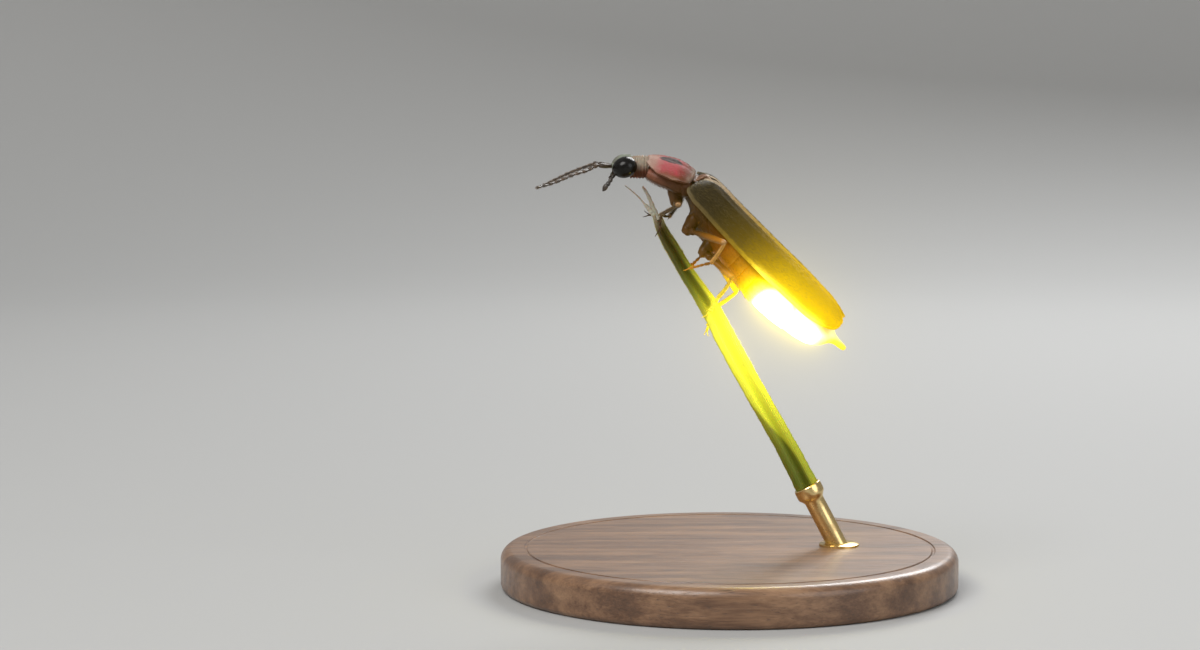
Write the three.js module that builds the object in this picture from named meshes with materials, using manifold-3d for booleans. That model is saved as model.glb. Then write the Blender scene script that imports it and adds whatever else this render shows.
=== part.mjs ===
// A male common eastern firefly clinging to the torn tip of a grass blade, at life size, in millimetres.
// x runs right and z up in the side view, and the insect's left side faces -y.
// The origin is the centre of the base's underside.

import * as THREE from 'three';
import { LoftGeometry } from 'three/addons/geometries/LoftGeometry.js';
import { mergeVertices } from 'three/addons/utils/BufferGeometryUtils.js';
import Module from 'manifold-3d';

// Driving dimensions

const GAP = 0.2;
const SIDES = [-1, 1];
const SIDE_NAMES = { '-1': 'left', 1: 'right' };

// The body hangs in three lengths, each pitched nose up and rolled back-first to -y by its own angle
const HIND_BODY = { origin: [-1.65, 0, 20.65], pitch: 43.5, roll: 14 };
const PROTHORAX = { origin: [-1.7, 0, 20.9], pitch: 20, roll: 13 };
const HEAD = { origin: [-5.3, 0, 21.17], pitch: 0, roll: 0 };

const ELYTRON = {
  length: 10.25, width: 2.3, front: 0.42, slant: 0.76, slantLength: 3, roof: 0.45, drop: 1.18,
  shoulder: 0.75, shoulderCut: 0.62, tipRound: 2.3, tipPower: 2.4, sutureRound: 0.9,
  tipOffset: 0.7, notchDepth: 0.3, notchLength: 0.75, ribs: [0.34, 0.62], ribHeight: 0.05,
};
const PRONOTUM = {
  length: 2.6, rear: 0, halfWidth: 1.9, thickness: 0.5, rearThickness: 0.36, drop: 0.5, rearDrop: 0.34,
  sweep: 0.46, frontRound: 1.9, rearRound: 1.05, rearPinch: 0.3, furrow: 0.05, groove: 0.045,
};
const THORAX = { front: 0.1, rear: 3.3 };
const BELLY = { front: 3.5, lantern: 6.15, notch: 8.29, rear: 10.3, tip: 10.4, spike: 11.38 };
const SHIELDED = { front: -2.32, rear: -0.14 };
const NECK = { front: 0.54, rear: 0.78 };
const EYE = { radius: 0.62, height: 0.53, bulge: 0.68, seat: 0.53, tilt: 20 };
const HEAD_CAPSULE = { halfLength: 0.5, halfWidth: 0.36, crown: 0.65, chin: -0.5 };
const ANTENNA = { joints: 11, radius: 0.25, tipRadius: 0.13 };
const PALP = { radius: 0.22, tipRadius: 0.1 };
const LEG = { femur: 0.26, knee: 0.23, tibia: 0.22, ankle: 0.2, tarsus: 0.19, toe: 0.14, claw: 0.32 };
const COXA = { root: 0.42, end: 0.34 };
const BLADE = { depth: 0.5, thickness: 0.45, fold: 0.12 };
const BASE = { radius: 11.5, thickness: 2, chamfer: 0.35 };
const ROD_RADIUS = 0.5;
const CUP = { radius: 0.74, length: 0.9, taper: 0.3 };

// Colours and finishes

function finish(color, roughness, metalness = 0) {
  return new THREE.MeshStandardMaterial({ color, roughness, metalness });
}

const FINISHES = {
  cuticle: () => finish(0x2c2118, 0.45),
  pink: () => finish(0xb8625c, 0.5),
  wing: () => finish(0x4a3a26, 0.5),
  eye: () => finish(0x0c0c0b, 0.15),
  membrane: () => finish(0xb9b3a2, 0.6),
  belly: () => finish(0xb4652a, 0.5),
  lantern: () => {
    const glow = finish(0xf4f0a0, 0.4);
    glow.emissive.set(0xe8f23a);
    return glow;
  },
  grass: () => finish(0x7a9a2c, 0.55),
  walnut: () => finish(0x4b2e1c, 0.4),
  brass: () => finish(0xb08d45, 0.3, 1),
};

const wasm = await Module();
wasm.setup();

// Small geometry tools

const point = (x, y, z) => new THREE.Vector3(x, y, z);
const mix = THREE.MathUtils.lerp;
const steps = (count) => Array.from({ length: count + 1 }, (_, index) => index / count);

function signedPower(value, exponent) {
  return Math.sign(value) * Math.abs(value) ** exponent;
}

// A closed skin over rings of points, each counterclockwise seen from the last one
function loft(rings) {
  return new LoftGeometry(rings, { closed: true, capStart: true, capEnd: true });
}

// A smooth curve through rows of [position, value, value...]
function profile(rows) {
  const positions = rows.map((row) => row[0]);
  const values = rows.flatMap((row) => row.slice(1));
  return new THREE.CubicInterpolant(positions, values, rows[0].length - 1);
}

function toSolid(geometry) {
  const bare = new THREE.BufferGeometry();
  bare.setAttribute('position', geometry.attributes.position);
  bare.setIndex(geometry.index);
  const merged = mergeVertices(bare, 1e-4);
  return new wasm.Manifold(new wasm.Mesh({
    numProp: 3,
    vertProperties: new Float32Array(merged.attributes.position.array),
    triVerts: new Uint32Array(merged.index.array),
  }));
}

// The largest closed surface of a solid
function toGeometry(solid) {
  const pieces = solid.decompose();
  const largest = pieces.reduce((best, piece) => (piece.volume() > best.volume() ? piece : best));
  const mesh = largest.getMesh();
  const geometry = new THREE.BufferGeometry();
  geometry.setAttribute('position', new THREE.BufferAttribute(mesh.vertProperties, mesh.numProp));
  geometry.setIndex(new THREE.BufferAttribute(mesh.triVerts, 1));
  geometry.computeVertexNormals();
  return geometry;
}

function join(geometries) {
  return geometries.map(toSolid).reduce((whole, piece) => whole.add(piece));
}

// Keeps what lies past a plane through a place, on the side its normal points to
function keepBeyond(solid, normal, place, clearance) {
  return solid.trimByPlane(normal.toArray(), normal.dot(place) + clearance);
}

function ball(centre, radius, sides) {
  const geometry = new THREE.SphereGeometry(radius, sides, Math.round(sides * 0.7));
  geometry.rotateX(Math.PI / 2);
  geometry.translate(...centre.toArray());
  return geometry;
}

// A limb along a curve: radiusAt(t) gives its half-width, and flatness its depth as a share of that
function limb(curve, radiusAt, { rows = 8, sides = 8, flatness = 1 } = {}) {
  const rings = steps(rows).map((t) => {
    const centre = curve.getPointAt(t);
    const along = curve.getTangentAt(t);
    const across = point(0, 1, 0).addScaledVector(along, -along.y).normalize();
    const up = across.clone().cross(along).negate();
    return steps(sides).slice(0, sides).map((share) => {
      const angle = share * Math.PI * 2;
      return centre.clone()
        .addScaledVector(across, Math.cos(angle) * radiusAt(t) * flatness)
        .addScaledVector(up, Math.sin(angle) * radiusAt(t));
    });
  });
  return loft(rings);
}

// An oval ring across x, with its own top and bottom about the widest level
function ovalRing(x, halfWidth, top, bottom, { sides = 20, widest = 0.5, keel = 2, lean = 0 } = {}) {
  const level = mix(bottom, top, widest);
  return steps(sides).slice(0, sides).map((share) => {
    const cosine = Math.cos(share * Math.PI * 2);
    const sine = Math.sin(share * Math.PI * 2);
    const power = sine < 0 ? 2 / keel : 1;
    const height = signedPower(sine, power) * (sine < 0 ? level - bottom : top - level);
    return point(x + lean * (top - level - height), signedPower(cosine, power) * halfWidth, level + height);
  });
}

// Frames of the body's three lengths

function bodyFrame({ origin, pitch, roll }) {
  const frame = new THREE.Group();
  frame.position.set(...origin);
  frame.rotation.set(THREE.MathUtils.degToRad(roll), THREE.MathUtils.degToRad(pitch), 0, 'YXZ');
  frame.updateMatrixWorld(true);
  return frame;
}

const firefly = new THREE.Group();
const hindBody = bodyFrame(HIND_BODY);
const prothorax = bodyFrame(PROTHORAX);
const head = bodyFrame(HEAD);
firefly.add(hindBody, prothorax, head);

function add(parent, name, geometry, material) {
  const mesh = new THREE.Mesh(geometry, material());
  mesh.name = name;
  parent.add(mesh);
}

// Elytra: horny wing cases with a rounded shoulder, two raised ribs, a flared rim and a round tip

function elytronEdges(x) {
  const { length, width, front, shoulder, shoulderCut } = ELYTRON;
  const { tipRound, tipPower, sutureRound, tipOffset } = ELYTRON;
  const belly = 0.92 + 0.08 * Math.sin(Math.PI * Math.min(x / length, 1));
  const frontShare = Math.max(0, 1 - (x - front) / shoulder);
  const rearShare = Math.max(0, (x - (length - tipRound)) / tipRound);
  const sutureShare = Math.max(0, (x - (length - sutureRound)) / sutureRound);
  const rounding = Math.max(0, 1 - rearShare ** tipPower) ** (1 / tipPower);
  const cut = shoulderCut * (1 - Math.sqrt(1 - frontShare ** 2));
  const outer = mix(tipOffset, width * belly, rounding) - cut;
  const notch = ELYTRON.notchDepth * Math.max(0, 1 - (x - front) / ELYTRON.notchLength);
  const inner = mix(tipOffset, GAP / 2, Math.sqrt(Math.max(0, 1 - sutureShare ** 2))) + notch;
  return { inner, outer };
}

const elytronRidge = profile([
  [0, 0, 0.28], [0.42, 0.4, 0.36], [0.75, 0.58, 0.46], [1.2, 0.61, 0.5], [2.2, 0.56, 0.5],
  [5, 0.48, 0.5], [8, 0.4, 0.5], [9.4, 0.27, 0.44], [10.25, 0.02, 0.26],
]);

function elytronHeight(x, y) {
  const [ridge] = elytronRidge.evaluate(x);
  const share = y / ELYTRON.width;
  const rib = (at) => ELYTRON.ribHeight * Math.exp(-(((share - at) / 0.05) ** 2));
  const ribs = ELYTRON.ribs.reduce((sum, at) => sum + rib(at), 0);
  const fade = THREE.MathUtils.smoothstep(x, 0.6, 2) * (1 - THREE.MathUtils.smoothstep(x, 7, 9));
  return ridge - ELYTRON.roof * share - (ELYTRON.drop - ELYTRON.roof) * share ** 2.4 + ribs * fade;
}

// The front edge slants: the shoulder lies further forward than the suture
function slanted(place) {
  const { width, slant, slantLength } = ELYTRON;
  const fade = 1 - THREE.MathUtils.smoothstep(place.x, 0, slantLength);
  return place.setX(place.x - slant * (place.y / width) * fade);
}

function elytronRing(x, side) {
  const { inner, outer } = elytronEdges(x);
  const [, thickness] = elytronRidge.evaluate(x);
  const upper = [1, 0.94, 0.84, 0.72, 0.62, 0.52, 0.42, 0.34, 0.24, 0.12, 0].map((share) => {
    const y = mix(inner, outer, share);
    return point(x, y, elytronHeight(x, y));
  });
  const lower = [0, 0.16, 0.34, 0.52, 0.7, 0.86].map((share) => {
    const y = mix(inner, outer, share);
    const slope = (elytronHeight(x, y + 0.1) - elytronHeight(x, y - 0.1)) / 0.2;
    const steep = Math.hypot(slope, 1);
    return point(x, y + (slope / steep) * thickness * share, elytronHeight(x, y) - thickness / steep);
  });
  const ring = [...upper, ...lower].map((place) => slanted(place)).map((place) => place.setY(place.y * side));
  return side > 0 ? ring : ring.reverse();
}

for (const side of SIDES) {
  const { front, length } = ELYTRON;
  const stations = [0, 0.012, 0.035, 0.07, 0.11, 0.17, 0.26, 0.36, 0.46, 0.56, 0.66, 0.75, 0.82, 0.87, 0.91,
    0.945, 0.97, 0.987, 0.997];
  const rings = stations.map((share) => elytronRing(mix(front, length, share), side));
  add(hindBody, `elytron_${SIDE_NAMES[side]}`, loft(rings), FINISHES.wing);
}

// Scutellum: the small triangle between the elytra's roots

const scutellumShape = profile([
  [0.05, 0.66, 0.04], [0.1, 0.64, 0.2], [0.16, 0.5, 0.32], [0.22, 0.35, 0.4], [0.3, 0.23, 0.45],
  [0.45, 0.15, 0.47], [0.6, 0.1, 0.46], [0.7, 0.06, 0.44], [0.78, 0.04, 0.39],
]);
const scutellumRings = [0.05, 0.1, 0.16, 0.22, 0.3, 0.45, 0.6, 0.7, 0.78].map((x) => {
  const [halfWidth, top] = scutellumShape.evaluate(x);
  return ovalRing(x, halfWidth, top, -0.1, { sides: 12, keel: 3 });
});
add(hindBody, 'scutellum', loft(scutellumRings), FINISHES.pink);

// Coxae: the stout roots of the legs, each ending in a ball that its femur stands off

const COXAE = {
  front: { frame: prothorax, root: [-0.75, 0.35, -1.1], end: [-0.42, 0.46, -1.7] },
  mid: { frame: hindBody, root: [1.3, 0.4, -1.5], end: [1.45, 0.74, -2.12] },
  hind: { frame: hindBody, root: [2.7, 0.35, -1.7], end: [2.8, 0.84, -2.34] },
};

function coxaEnds(pair, side) {
  const { root, end } = COXAE[pair];
  return [root, end].map(([x, y, z]) => point(x, y * side, z));
}

function coxae(pair) {
  return SIDES.flatMap((side) => {
    const [root, end] = coxaEnds(pair, side);
    const radiusAt = (t) => mix(COXA.root, COXA.end, t);
    const cone = limb(new THREE.LineCurve3(root, end), radiusAt, { rows: 2, sides: 10 });
    return [cone, ball(end, COXA.end, 10)];
  });
}

// Thorax: keeled below, where the middle and hind coxae stand

const thoraxShape = profile([
  [THORAX.front, 0.98, -0.34, -1.35, 0.435], [0.7, 1.22, -0.34, -1.86, 0.36], [1.5, 1.46, -0.34, -2.16, 0.2],
  [2.4, 1.58, -0.34, -2.28, 0.06], [3.3, 1.56, -0.38, -2.32, 0],
]);
const thoraxRings = steps(9).map((t) => {
  const x = mix(THORAX.front, THORAX.rear, t);
  const [halfWidth, top, bottom, lean] = thoraxShape.evaluate(x);
  return ovalRing(x, halfWidth, top, bottom, { widest: 0.62, keel: 1.2, lean });
});
const thoraxSolid = join([loft(thoraxRings), ...coxae('mid'), ...coxae('hind')]);
add(hindBody, 'thorax', toGeometry(thoraxSolid), FINISHES.cuticle);

// Abdomen: four plain rings, two lantern rings and the last one tapering to a blunt spike

const abdomenShape = profile([
  [BELLY.front, 1.5, -0.4, -2.26], [4.2, 1.66, -0.4, -2.4], [5, 1.8, -0.38, -2.58],
  [6.1, 1.86, -0.39, -2.75], [7.2, 1.8, -0.44, -2.74], [8.3, 1.66, -0.46, -2.62],
  [9.2, 1.4, -0.56, -2.48], [9.9, 1.08, -0.68, -2.22], [BELLY.rear, 0.74, -0.82, -1.9],
]);

// Each ring of the belly swells towards its rear edge, then steps in under the next
function bellyRings(from, to, count) {
  const length = (to - from) / count;
  return steps(count).slice(0, count).flatMap((share) => [0, 0.3, 0.75, 0.97].map((within) => {
    const x = mix(from, to, share) + length * within;
    const [halfWidth, top, bottom] = abdomenShape.evaluate(x);
    const swell = 0.955 + 0.045 * Math.sin(within * Math.PI * 0.55);
    const middle = (top + bottom) / 2;
    const [upper, lower] = [mix(middle, top, swell), mix(middle, bottom, swell)];
    return ovalRing(x, halfWidth * swell, upper, lower, { widest: 0.52 });
  }));
}

const plainRings = bellyRings(BELLY.front, BELLY.lantern - GAP / 2, 4);
const frontLanternRings = bellyRings(BELLY.lantern + GAP / 2, BELLY.notch - GAP / 2, 1);
const rearLanternRings = bellyRings(BELLY.notch + GAP / 2, BELLY.rear - GAP / 2, 1);
add(hindBody, 'abdomen', loft(plainRings), FINISHES.belly);
add(hindBody, 'lantern_front', loft(frontLanternRings), FINISHES.lantern);
add(hindBody, 'lantern_rear', loft(rearLanternRings), FINISHES.lantern);

const tipShape = profile([
  [BELLY.tip, 0.56, -0.93, -1.7], [10.55, 0.43, -0.95, -1.54], [10.75, 0.34, -0.98, -1.45],
  [11.05, 0.28, -1.0, -1.41], [BELLY.spike, 0.17, -1.04, -1.32],
]);
const tipRings = steps(6).map((t) => {
  const x = mix(BELLY.tip, BELLY.spike, t);
  const [halfWidth, top, bottom] = tipShape.evaluate(x);
  return ovalRing(x, halfWidth, top, bottom, { sides: 14 });
});
add(hindBody, 'abdomen_tip', loft(tipRings), FINISHES.lantern);

// Pronotum: the shield behind the head, domed along its middle with a flared rim

const pronotumRidge = profile([
  [-2.6, -0.16], [-2.2, 0], [-1.7, 0.13], [-1, 0.17], [-0.3, 0.04], [0, -0.04],
]);

function pronotumHeight(x, share) {
  const [ridge] = pronotumRidge.evaluate(x);
  const along = THREE.MathUtils.smoothstep(x, -2.2, -1.2);
  const furrow = PRONOTUM.furrow * Math.exp(-((share / 0.09) ** 2)) * along;
  const rimGroove = PRONOTUM.groove * Math.exp(-(((Math.abs(share) - 0.76) / 0.08) ** 2));
  const drop = mix(PRONOTUM.drop, PRONOTUM.rearDrop, THREE.MathUtils.smoothstep(x, -1.3, -0.1));
  return ridge - drop * (1.15 * share ** 2 - 0.15 * share ** 6) - furrow - rimGroove;
}

function pronotumRing(x, slim) {
  const { halfWidth, thickness, rearThickness, rear, length, frontRound, rearRound, rearPinch } = PRONOTUM;
  const frontShare = Math.max(0, (rear - length + frontRound - x) / frontRound);
  const rearShare = Math.max(0, (x - (rear - rearRound)) / rearRound);
  const rounding = Math.sqrt(1 - frontShare ** 2);
  const reach = halfWidth * rounding * (1 - rearPinch * rearShare ** 2);
  const across = (share) => (share * reach) / halfWidth;
  const towardsRear = THREE.MathUtils.smoothstep(x, -1.4, rear);
  const swept = (share) => x - PRONOTUM.sweep * across(share) ** 2 * towardsRear;
  const half = [1, 0.9, 0.76, 0.62, 0.46, 0.28, 0.1];
  const upper = [...half, 0, ...half.toReversed().map((share) => -share)];
  const lower = [-0.93, -0.7, -0.4, 0, 0.4, 0.7, 0.93];
  return [
    ...upper.map((share) => point(swept(share), share * reach, pronotumHeight(x, across(share)) - slim)),
    ...lower.map((share) => {
      const full = mix(thickness, rearThickness, towardsRear);
      const depth = full * mix(1, 0.6, share ** 4) * mix(0.6, 1, 1 - frontShare ** 4) - slim;
      return point(swept(share), share * reach, pronotumHeight(x, across(share)) - depth);
    }),
  ];
}

const pronotumStations = [0.006, 0.03, 0.08, 0.16, 0.26, 0.38, 0.5, 0.62, 0.73, 0.83, 0.91, 0.97, 1];
const pronotumRings = pronotumStations.map((share) => {
  const x = mix(PRONOTUM.rear - PRONOTUM.length, PRONOTUM.rear, share);
  const edge = Math.max(0, 1 - share / 0.06, 1 - (1 - share) / 0.04);
  return pronotumRing(x, 0.1 * edge);
});
add(prothorax, 'pronotum', loft(pronotumRings), FINISHES.pink);

// Prothorax: under the shield, with the front coxae

const prothoraxShape = profile([
  [SHIELDED.front, 0.86, -0.78, -1.18], [-1.8, 1.1, -0.64, -1.27], [-1.1, 1.22, -0.55, -1.32],
  [-0.5, 1.2, -0.6, -1.42], [SHIELDED.rear, 1.12, -0.72, -1.42],
]);
const prothoraxRings = steps(7).map((t) => {
  const x = mix(SHIELDED.front, SHIELDED.rear, t);
  const [halfWidth, top, bottom] = prothoraxShape.evaluate(x);
  return ovalRing(x, halfWidth, top, bottom, { widest: 0.62, keel: 1.5 });
});
const prothoraxSolid = join([loft(prothoraxRings), ...coxae('front')]);
add(prothorax, 'prothorax', toGeometry(prothoraxSolid), FINISHES.pink);

// Neck: the pale, wrinkled membrane between the shield and the head

const neckRings = steps(4).map((t) => {
  const x = mix(NECK.front, NECK.rear, t);
  const wrinkle = 0.03 * Math.cos(t * Math.PI * 4);
  return ovalRing(x, mix(0.34, 0.44, t) + wrinkle, 0.56 + wrinkle, -0.56 - wrinkle, { sides: 16 });
});
add(head, 'neck', loft(neckRings), FINISHES.membrane);

// Head: a narrow capsule between the eyes, with antennal sockets, upper lip and two fine jaws

function headPieces() {
  const { halfLength, halfWidth, crown, chin } = HEAD_CAPSULE;
  const capsule = steps(10).map((t) => {
    const x = mix(-0.6, 0.35, t);
    const round = Math.sqrt(Math.max(0.04, 1 - (Math.max(0, -x - 0.05) / 0.6) ** 2));
    const narrowed = halfWidth * mix(0.7, 1, round);
    return ovalRing(x, narrowed, crown * round, chin * mix(0.55, 1, round), { sides: 18 });
  });
  const lip = limb(new THREE.LineCurve3(point(-0.3, 0, -0.28), point(-0.66, 0, -0.4)),
    (t) => mix(0.22, 0.1, t), { rows: 2, sides: 10, flatness: 1.2 });
  const sockets = SIDES.map((side) => ball(point(-halfLength, 0.2 * side, 0.04), 0.17, 10));
  const jaws = SIDES.map((side) => {
    const path = new THREE.QuadraticBezierCurve3(
      point(-0.5, 0.13 * side, -0.4), point(-0.72, 0.14 * side, -0.5), point(-0.8, 0.04 * side, -0.6));
    return limb(path, (t) => mix(0.09, 0.04, t), { rows: 3, sides: 6 });
  });
  return [loft(capsule), lip, ...sockets, ...jaws];
}
add(head, 'head', toGeometry(join(headPieces())), FINISHES.cuticle);

// Eyes: great domes that fill the sides of the head, each with a flat seat facing it

for (const side of SIDES) {
  const { radius, height, bulge, seat, tilt } = EYE;
  const arc = steps(9).map((t) => {
    const angle = t * Math.PI / 2;
    return new THREE.Vector2(radius * Math.cos(angle) ** 0.85, bulge * Math.sin(angle) ** 0.95);
  });
  arc[arc.length - 1].x = 0;
  const dome = new THREE.LatheGeometry([new THREE.Vector2(0, 0), ...arc], 24);
  if (side < 0) dome.rotateX(Math.PI);
  dome.scale(1, 1, height / radius);
  dome.rotateY(THREE.MathUtils.degToRad(-tilt));
  dome.translate(0.03, seat * side, 0);
  add(head, `eye_${SIDE_NAMES[side]}`, dome, FINISHES.eye);
}

// Antennae: eleven joints, each swelling towards its end

const ANTENNA_PATHS = {
  left: [
    [-0.86, -0.34, 0.05], [-1.35, -0.72, 0.1], [-1.8, -1.25, -0.1],
    [-2.45, -2, -0.26], [-3.4, -3, -0.6], [-4.3, -4.1, -0.8],
  ],
  right: [
    [-0.86, 0.34, 0.05], [-1.35, 0.75, 0.12], [-1.85, 1.35, -0.06],
    [-2.55, 2.2, -0.36], [-3.4, 3.2, -0.8], [-4.1, 4.2, -1.2],
  ],
};

function antennaRadius(t) {
  const within = (t * ANTENNA.joints) % 1;
  const body = t > 0.6 ? mix(ANTENNA.radius, ANTENNA.tipRadius, (t - 0.6) / 0.4) : ANTENNA.radius;
  return body * mix(0.82, 1, Math.sin(Math.min(within / 0.75, 1) * Math.PI / 2));
}

for (const [side, path] of Object.entries(ANTENNA_PATHS)) {
  const curve = new THREE.CatmullRomCurve3(path.map((place) => point(...place)));
  const feeler = limb(curve, antennaRadius, { rows: ANTENNA.joints * 2, sides: 8 });
  add(head, `antenna_${side}`, feeler, FINISHES.cuticle);
}

// Palps: short feelers under the face

for (const side of SIDES) {
  const path = new THREE.QuadraticBezierCurve3(
    point(-0.66, 0.42 * side, -0.66), point(-0.86, 0.46 * side, -0.92), point(-1.08, 0.42 * side, -1.2));
  const palp = limb(path, (t) => mix(PALP.radius, PALP.tipRadius, t ** 1.6), { rows: 5, sides: 8 });
  add(head, `palp_${SIDE_NAMES[side]}`, palp, FINISHES.cuticle);
}

// Legs: the joints of each, from knee to claw, where they stand in the side view

const LEGS = {
  front_left: { knee: [-2.65, -1.85, 19.4], ankle: [-3.45, -0.25, 18.8], toe: [-3.56, -0.12, 17.95] },
  front_right: { knee: [-2.4, 2.5, 19.35], ankle: [-3.02, 1.25, 18.6], toe: [-4.05, 1.05, 18.7] },
  mid_left: { knee: [-0.38, -2.75, 17.6], ankle: [-1.0, -1.45, 16.5], toe: [-2.05, -0.13, 16.1] },
  mid_right: { knee: [-0.18, 2.55, 18.28], ankle: [-1.2, 1.9, 16.75], toe: [-2.1, 1.1, 15.95] },
  hind_left: { knee: [0.06, -1.65, 15.8], ankle: [-0.58, -0.3, 14.7], toe: [-1.13, -0.13, 13.75] },
  hind_right: { knee: [0.42, 1.9, 14.75], ankle: [-0.85, 1.2, 13.95], toe: [-1.12, 1.1, 12.85] },
};

function legPieces(name, { knee, ankle, toe }) {
  const [pair, sideName] = name.split('_');
  const side = sideName === 'left' ? -1 : 1;
  const [kneeAt, ankleAt, toeAt] = [knee, ankle, toe].map((place) => point(...place));
  const coxaEnd = coxaEnds(pair, side)[1].applyMatrix4(COXAE[pair].frame.matrixWorld);
  const outward = kneeAt.clone().sub(coxaEnd).normalize();
  const hipAt = coxaEnd.clone().addScaledVector(outward, COXA.end + GAP);

  const femurRadius = (t) => mix(0.2, LEG.knee, t) + (LEG.femur - 0.2) * Math.sin(t * Math.PI) ** 0.8;
  const femur = limb(new THREE.LineCurve3(hipAt, kneeAt), femurRadius, { rows: 7, sides: 10 });
  const kneeBall = ball(kneeAt, LEG.knee, 10);
  const tibiaRadius = (t) => mix(LEG.tibia, LEG.ankle, t);
  const tibia = limb(new THREE.LineCurve3(kneeAt, ankleAt), tibiaRadius, { rows: 4, sides: 10 });
  const ankleBall = ball(ankleAt, LEG.ankle, 8);
  const tarsusRadius = (t) => mix(LEG.tarsus, LEG.toe, t) * mix(0.8, 1, Math.sin(((t * 5) % 1) * Math.PI));
  const tarsus = limb(new THREE.LineCurve3(ankleAt, toeAt), tarsusRadius, { rows: 10, sides: 8 });

  const forward = toeAt.clone().sub(ankleAt).normalize();
  const sideways = forward.clone().cross(point(0, 1, 0)).normalize();
  const fromToe = (ahead, apart) => {
    return toeAt.clone().addScaledVector(forward, ahead).addScaledVector(sideways, apart);
  };
  const claws = SIDES.map((turn) => {
    const bend = fromToe(LEG.claw * 0.6, turn * 0.12);
    const tip = fromToe(LEG.claw * 0.9, turn * 0.22);
    const hook = new THREE.QuadraticBezierCurve3(fromToe(-0.1, 0), bend, tip);
    return limb(hook, (t) => mix(0.1, 0.045, t), { rows: 3, sides: 6 });
  });

  const down = ankleAt.clone().sub(kneeAt).normalize();
  const kneePlane = outward.clone().add(down).negate().normalize();
  const anklePlane = down.clone().add(forward).negate().normalize();
  const upper = keepBeyond(join([femur, kneeBall]), kneePlane, kneeAt, GAP / 2);
  const shank = keepBeyond(join([tibia, kneeBall, ankleBall]), kneePlane.clone().negate(), kneeAt, GAP / 2);
  const lower = keepBeyond(shank, anklePlane, ankleAt, GAP / 2);
  const wholeFoot = join([tarsus, ankleBall, ...claws]);
  const foot = keepBeyond(wholeFoot, anklePlane.clone().negate(), ankleAt, GAP / 2);
  return { femur: upper, tibia: lower, tarsus: foot };
}

for (const [name, joints] of Object.entries(LEGS)) {
  for (const [piece, solid] of Object.entries(legPieces(name, joints))) {
    add(firefly, `leg_${name}_${piece}`, toGeometry(solid), FINISHES.cuticle);
  }
}

// Grass blade: folded along its middle, narrow and torn into strands at the top

const BLADE_LINE = [
  [-3.68, 18.75, 0.42], [-3.4, 18, 0.6], [-2.75, 16.85, 0.74], [-2.1, 15.75, 0.78], [-1.5, 14.85, 0.9],
  [-0.9, 13.9, 1.0], [-0.18, 12.5, 1.06], [1.48, 9.5, 1.08], [2.9, 7, 1.1], [3.82, 5.24, 1.2],
];

function bladeRing(centre, along, width) {
  const across = point(-along.z, 0, along.x);
  const half = width / 2;
  const slim = Math.min(1, width / 0.6);
  const { thickness, fold } = BLADE;
  const section = [
    [1, 0], [0.5, -0.5], [0, -0.5 + fold * 2], [-0.5, -0.5], [-1, 0], [-0.6, 0.42], [0, 0.6], [0.6, 0.42],
  ];
  return section.map(([share, depth]) => centre.clone()
    .addScaledVector(across, share * half)
    .add(point(0, depth * thickness * slim, 0)));
}

function bladePieces() {
  const line = new THREE.CatmullRomCurve3(BLADE_LINE.map(([x, z]) => point(x, BLADE.depth, z)));
  const widths = profile(BLADE_LINE.map(([, z, width]) => [-z, width]));
  const rings = steps(22).map((t) => {
    const centre = line.getPointAt(t);
    return bladeRing(centre, line.getTangentAt(t), widths.evaluate(-centre.z)[0]);
  });
  const strand = (places, thick, thin) => limb(
    new THREE.CatmullRomCurve3(places.map(([x, z]) => point(x, BLADE.depth, z))),
    (t) => mix(thick, thin, t), { rows: 6, sides: 6 });
  const prong = strand([[-3.6, 18.5], [-3.85, 19.1], [-4.15, 19.8], [-4.38, 20.15]], 0.2, 0.09);
  const stub = strand([[-3.65, 18.6], [-4, 18.95], [-4.25, 19.3]], 0.18, 0.1);
  const fibre = strand([[-4.1, 19.05], [-4.55, 19.6], [-5, 20], [-5.28, 20.22]], 0.1, 0.06);
  return [loft(rings), prong, stub, fibre];
}
add(firefly, 'grass_blade', toGeometry(join(bladePieces())), FINISHES.grass);

// Display stand: a brass rod with a cup in line with the cut end of the blade, and a round walnut base

const [cutX, cutZ] = BLADE_LINE[BLADE_LINE.length - 1];
const [aboveX, aboveZ] = BLADE_LINE[BLADE_LINE.length - 2];
const rodAxis = point(cutX - aboveX, 0, cutZ - aboveZ).normalize();
const rodTop = point(cutX, BLADE.depth, cutZ).addScaledVector(rodAxis, GAP);
const rodAcross = point(0, 1, 0);
const rodUp = rodAxis.clone().cross(rodAcross);

function rodRing(radius, slideFrom) {
  return steps(24).slice(0, 24).map((share) => {
    const angle = -share * Math.PI * 2;
    const place = rodTop.clone()
      .addScaledVector(rodUp, Math.cos(angle) * radius)
      .addScaledVector(rodAcross, Math.sin(angle) * radius);
    return place.addScaledVector(rodAxis, slideFrom(place));
  });
}
const toBase = (place) => (BASE.thickness + GAP - place.z) / rodAxis.z;
const rodRings = [
  rodRing(CUP.radius, () => 0), rodRing(CUP.radius, () => CUP.length - CUP.taper),
  rodRing(ROD_RADIUS, () => CUP.length), rodRing(ROD_RADIUS, toBase),
];
add(firefly, 'stand_rod', loft(rodRings), FINISHES.brass);

const { radius: baseRadius, thickness: baseThickness, chamfer } = BASE;
const baseProfile = [
  [0, 0], [baseRadius - chamfer, 0], [baseRadius, chamfer], [baseRadius, baseThickness - chamfer],
  [baseRadius - chamfer, baseThickness], [0, baseThickness],
].map(([r, z]) => new THREE.Vector2(r, z));
const baseGeometry = new THREE.LatheGeometry(baseProfile, 64);
baseGeometry.rotateX(Math.PI / 2);
add(firefly, 'stand_base', baseGeometry, FINISHES.walnut);

export default firefly;
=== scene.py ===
# A firefly with its lantern lit, on a torn grass blade: skins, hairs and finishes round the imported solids.
# Shapes are worked out in millimetres, each in the frame of its body length, and MM turns them into metres.

import math

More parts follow.
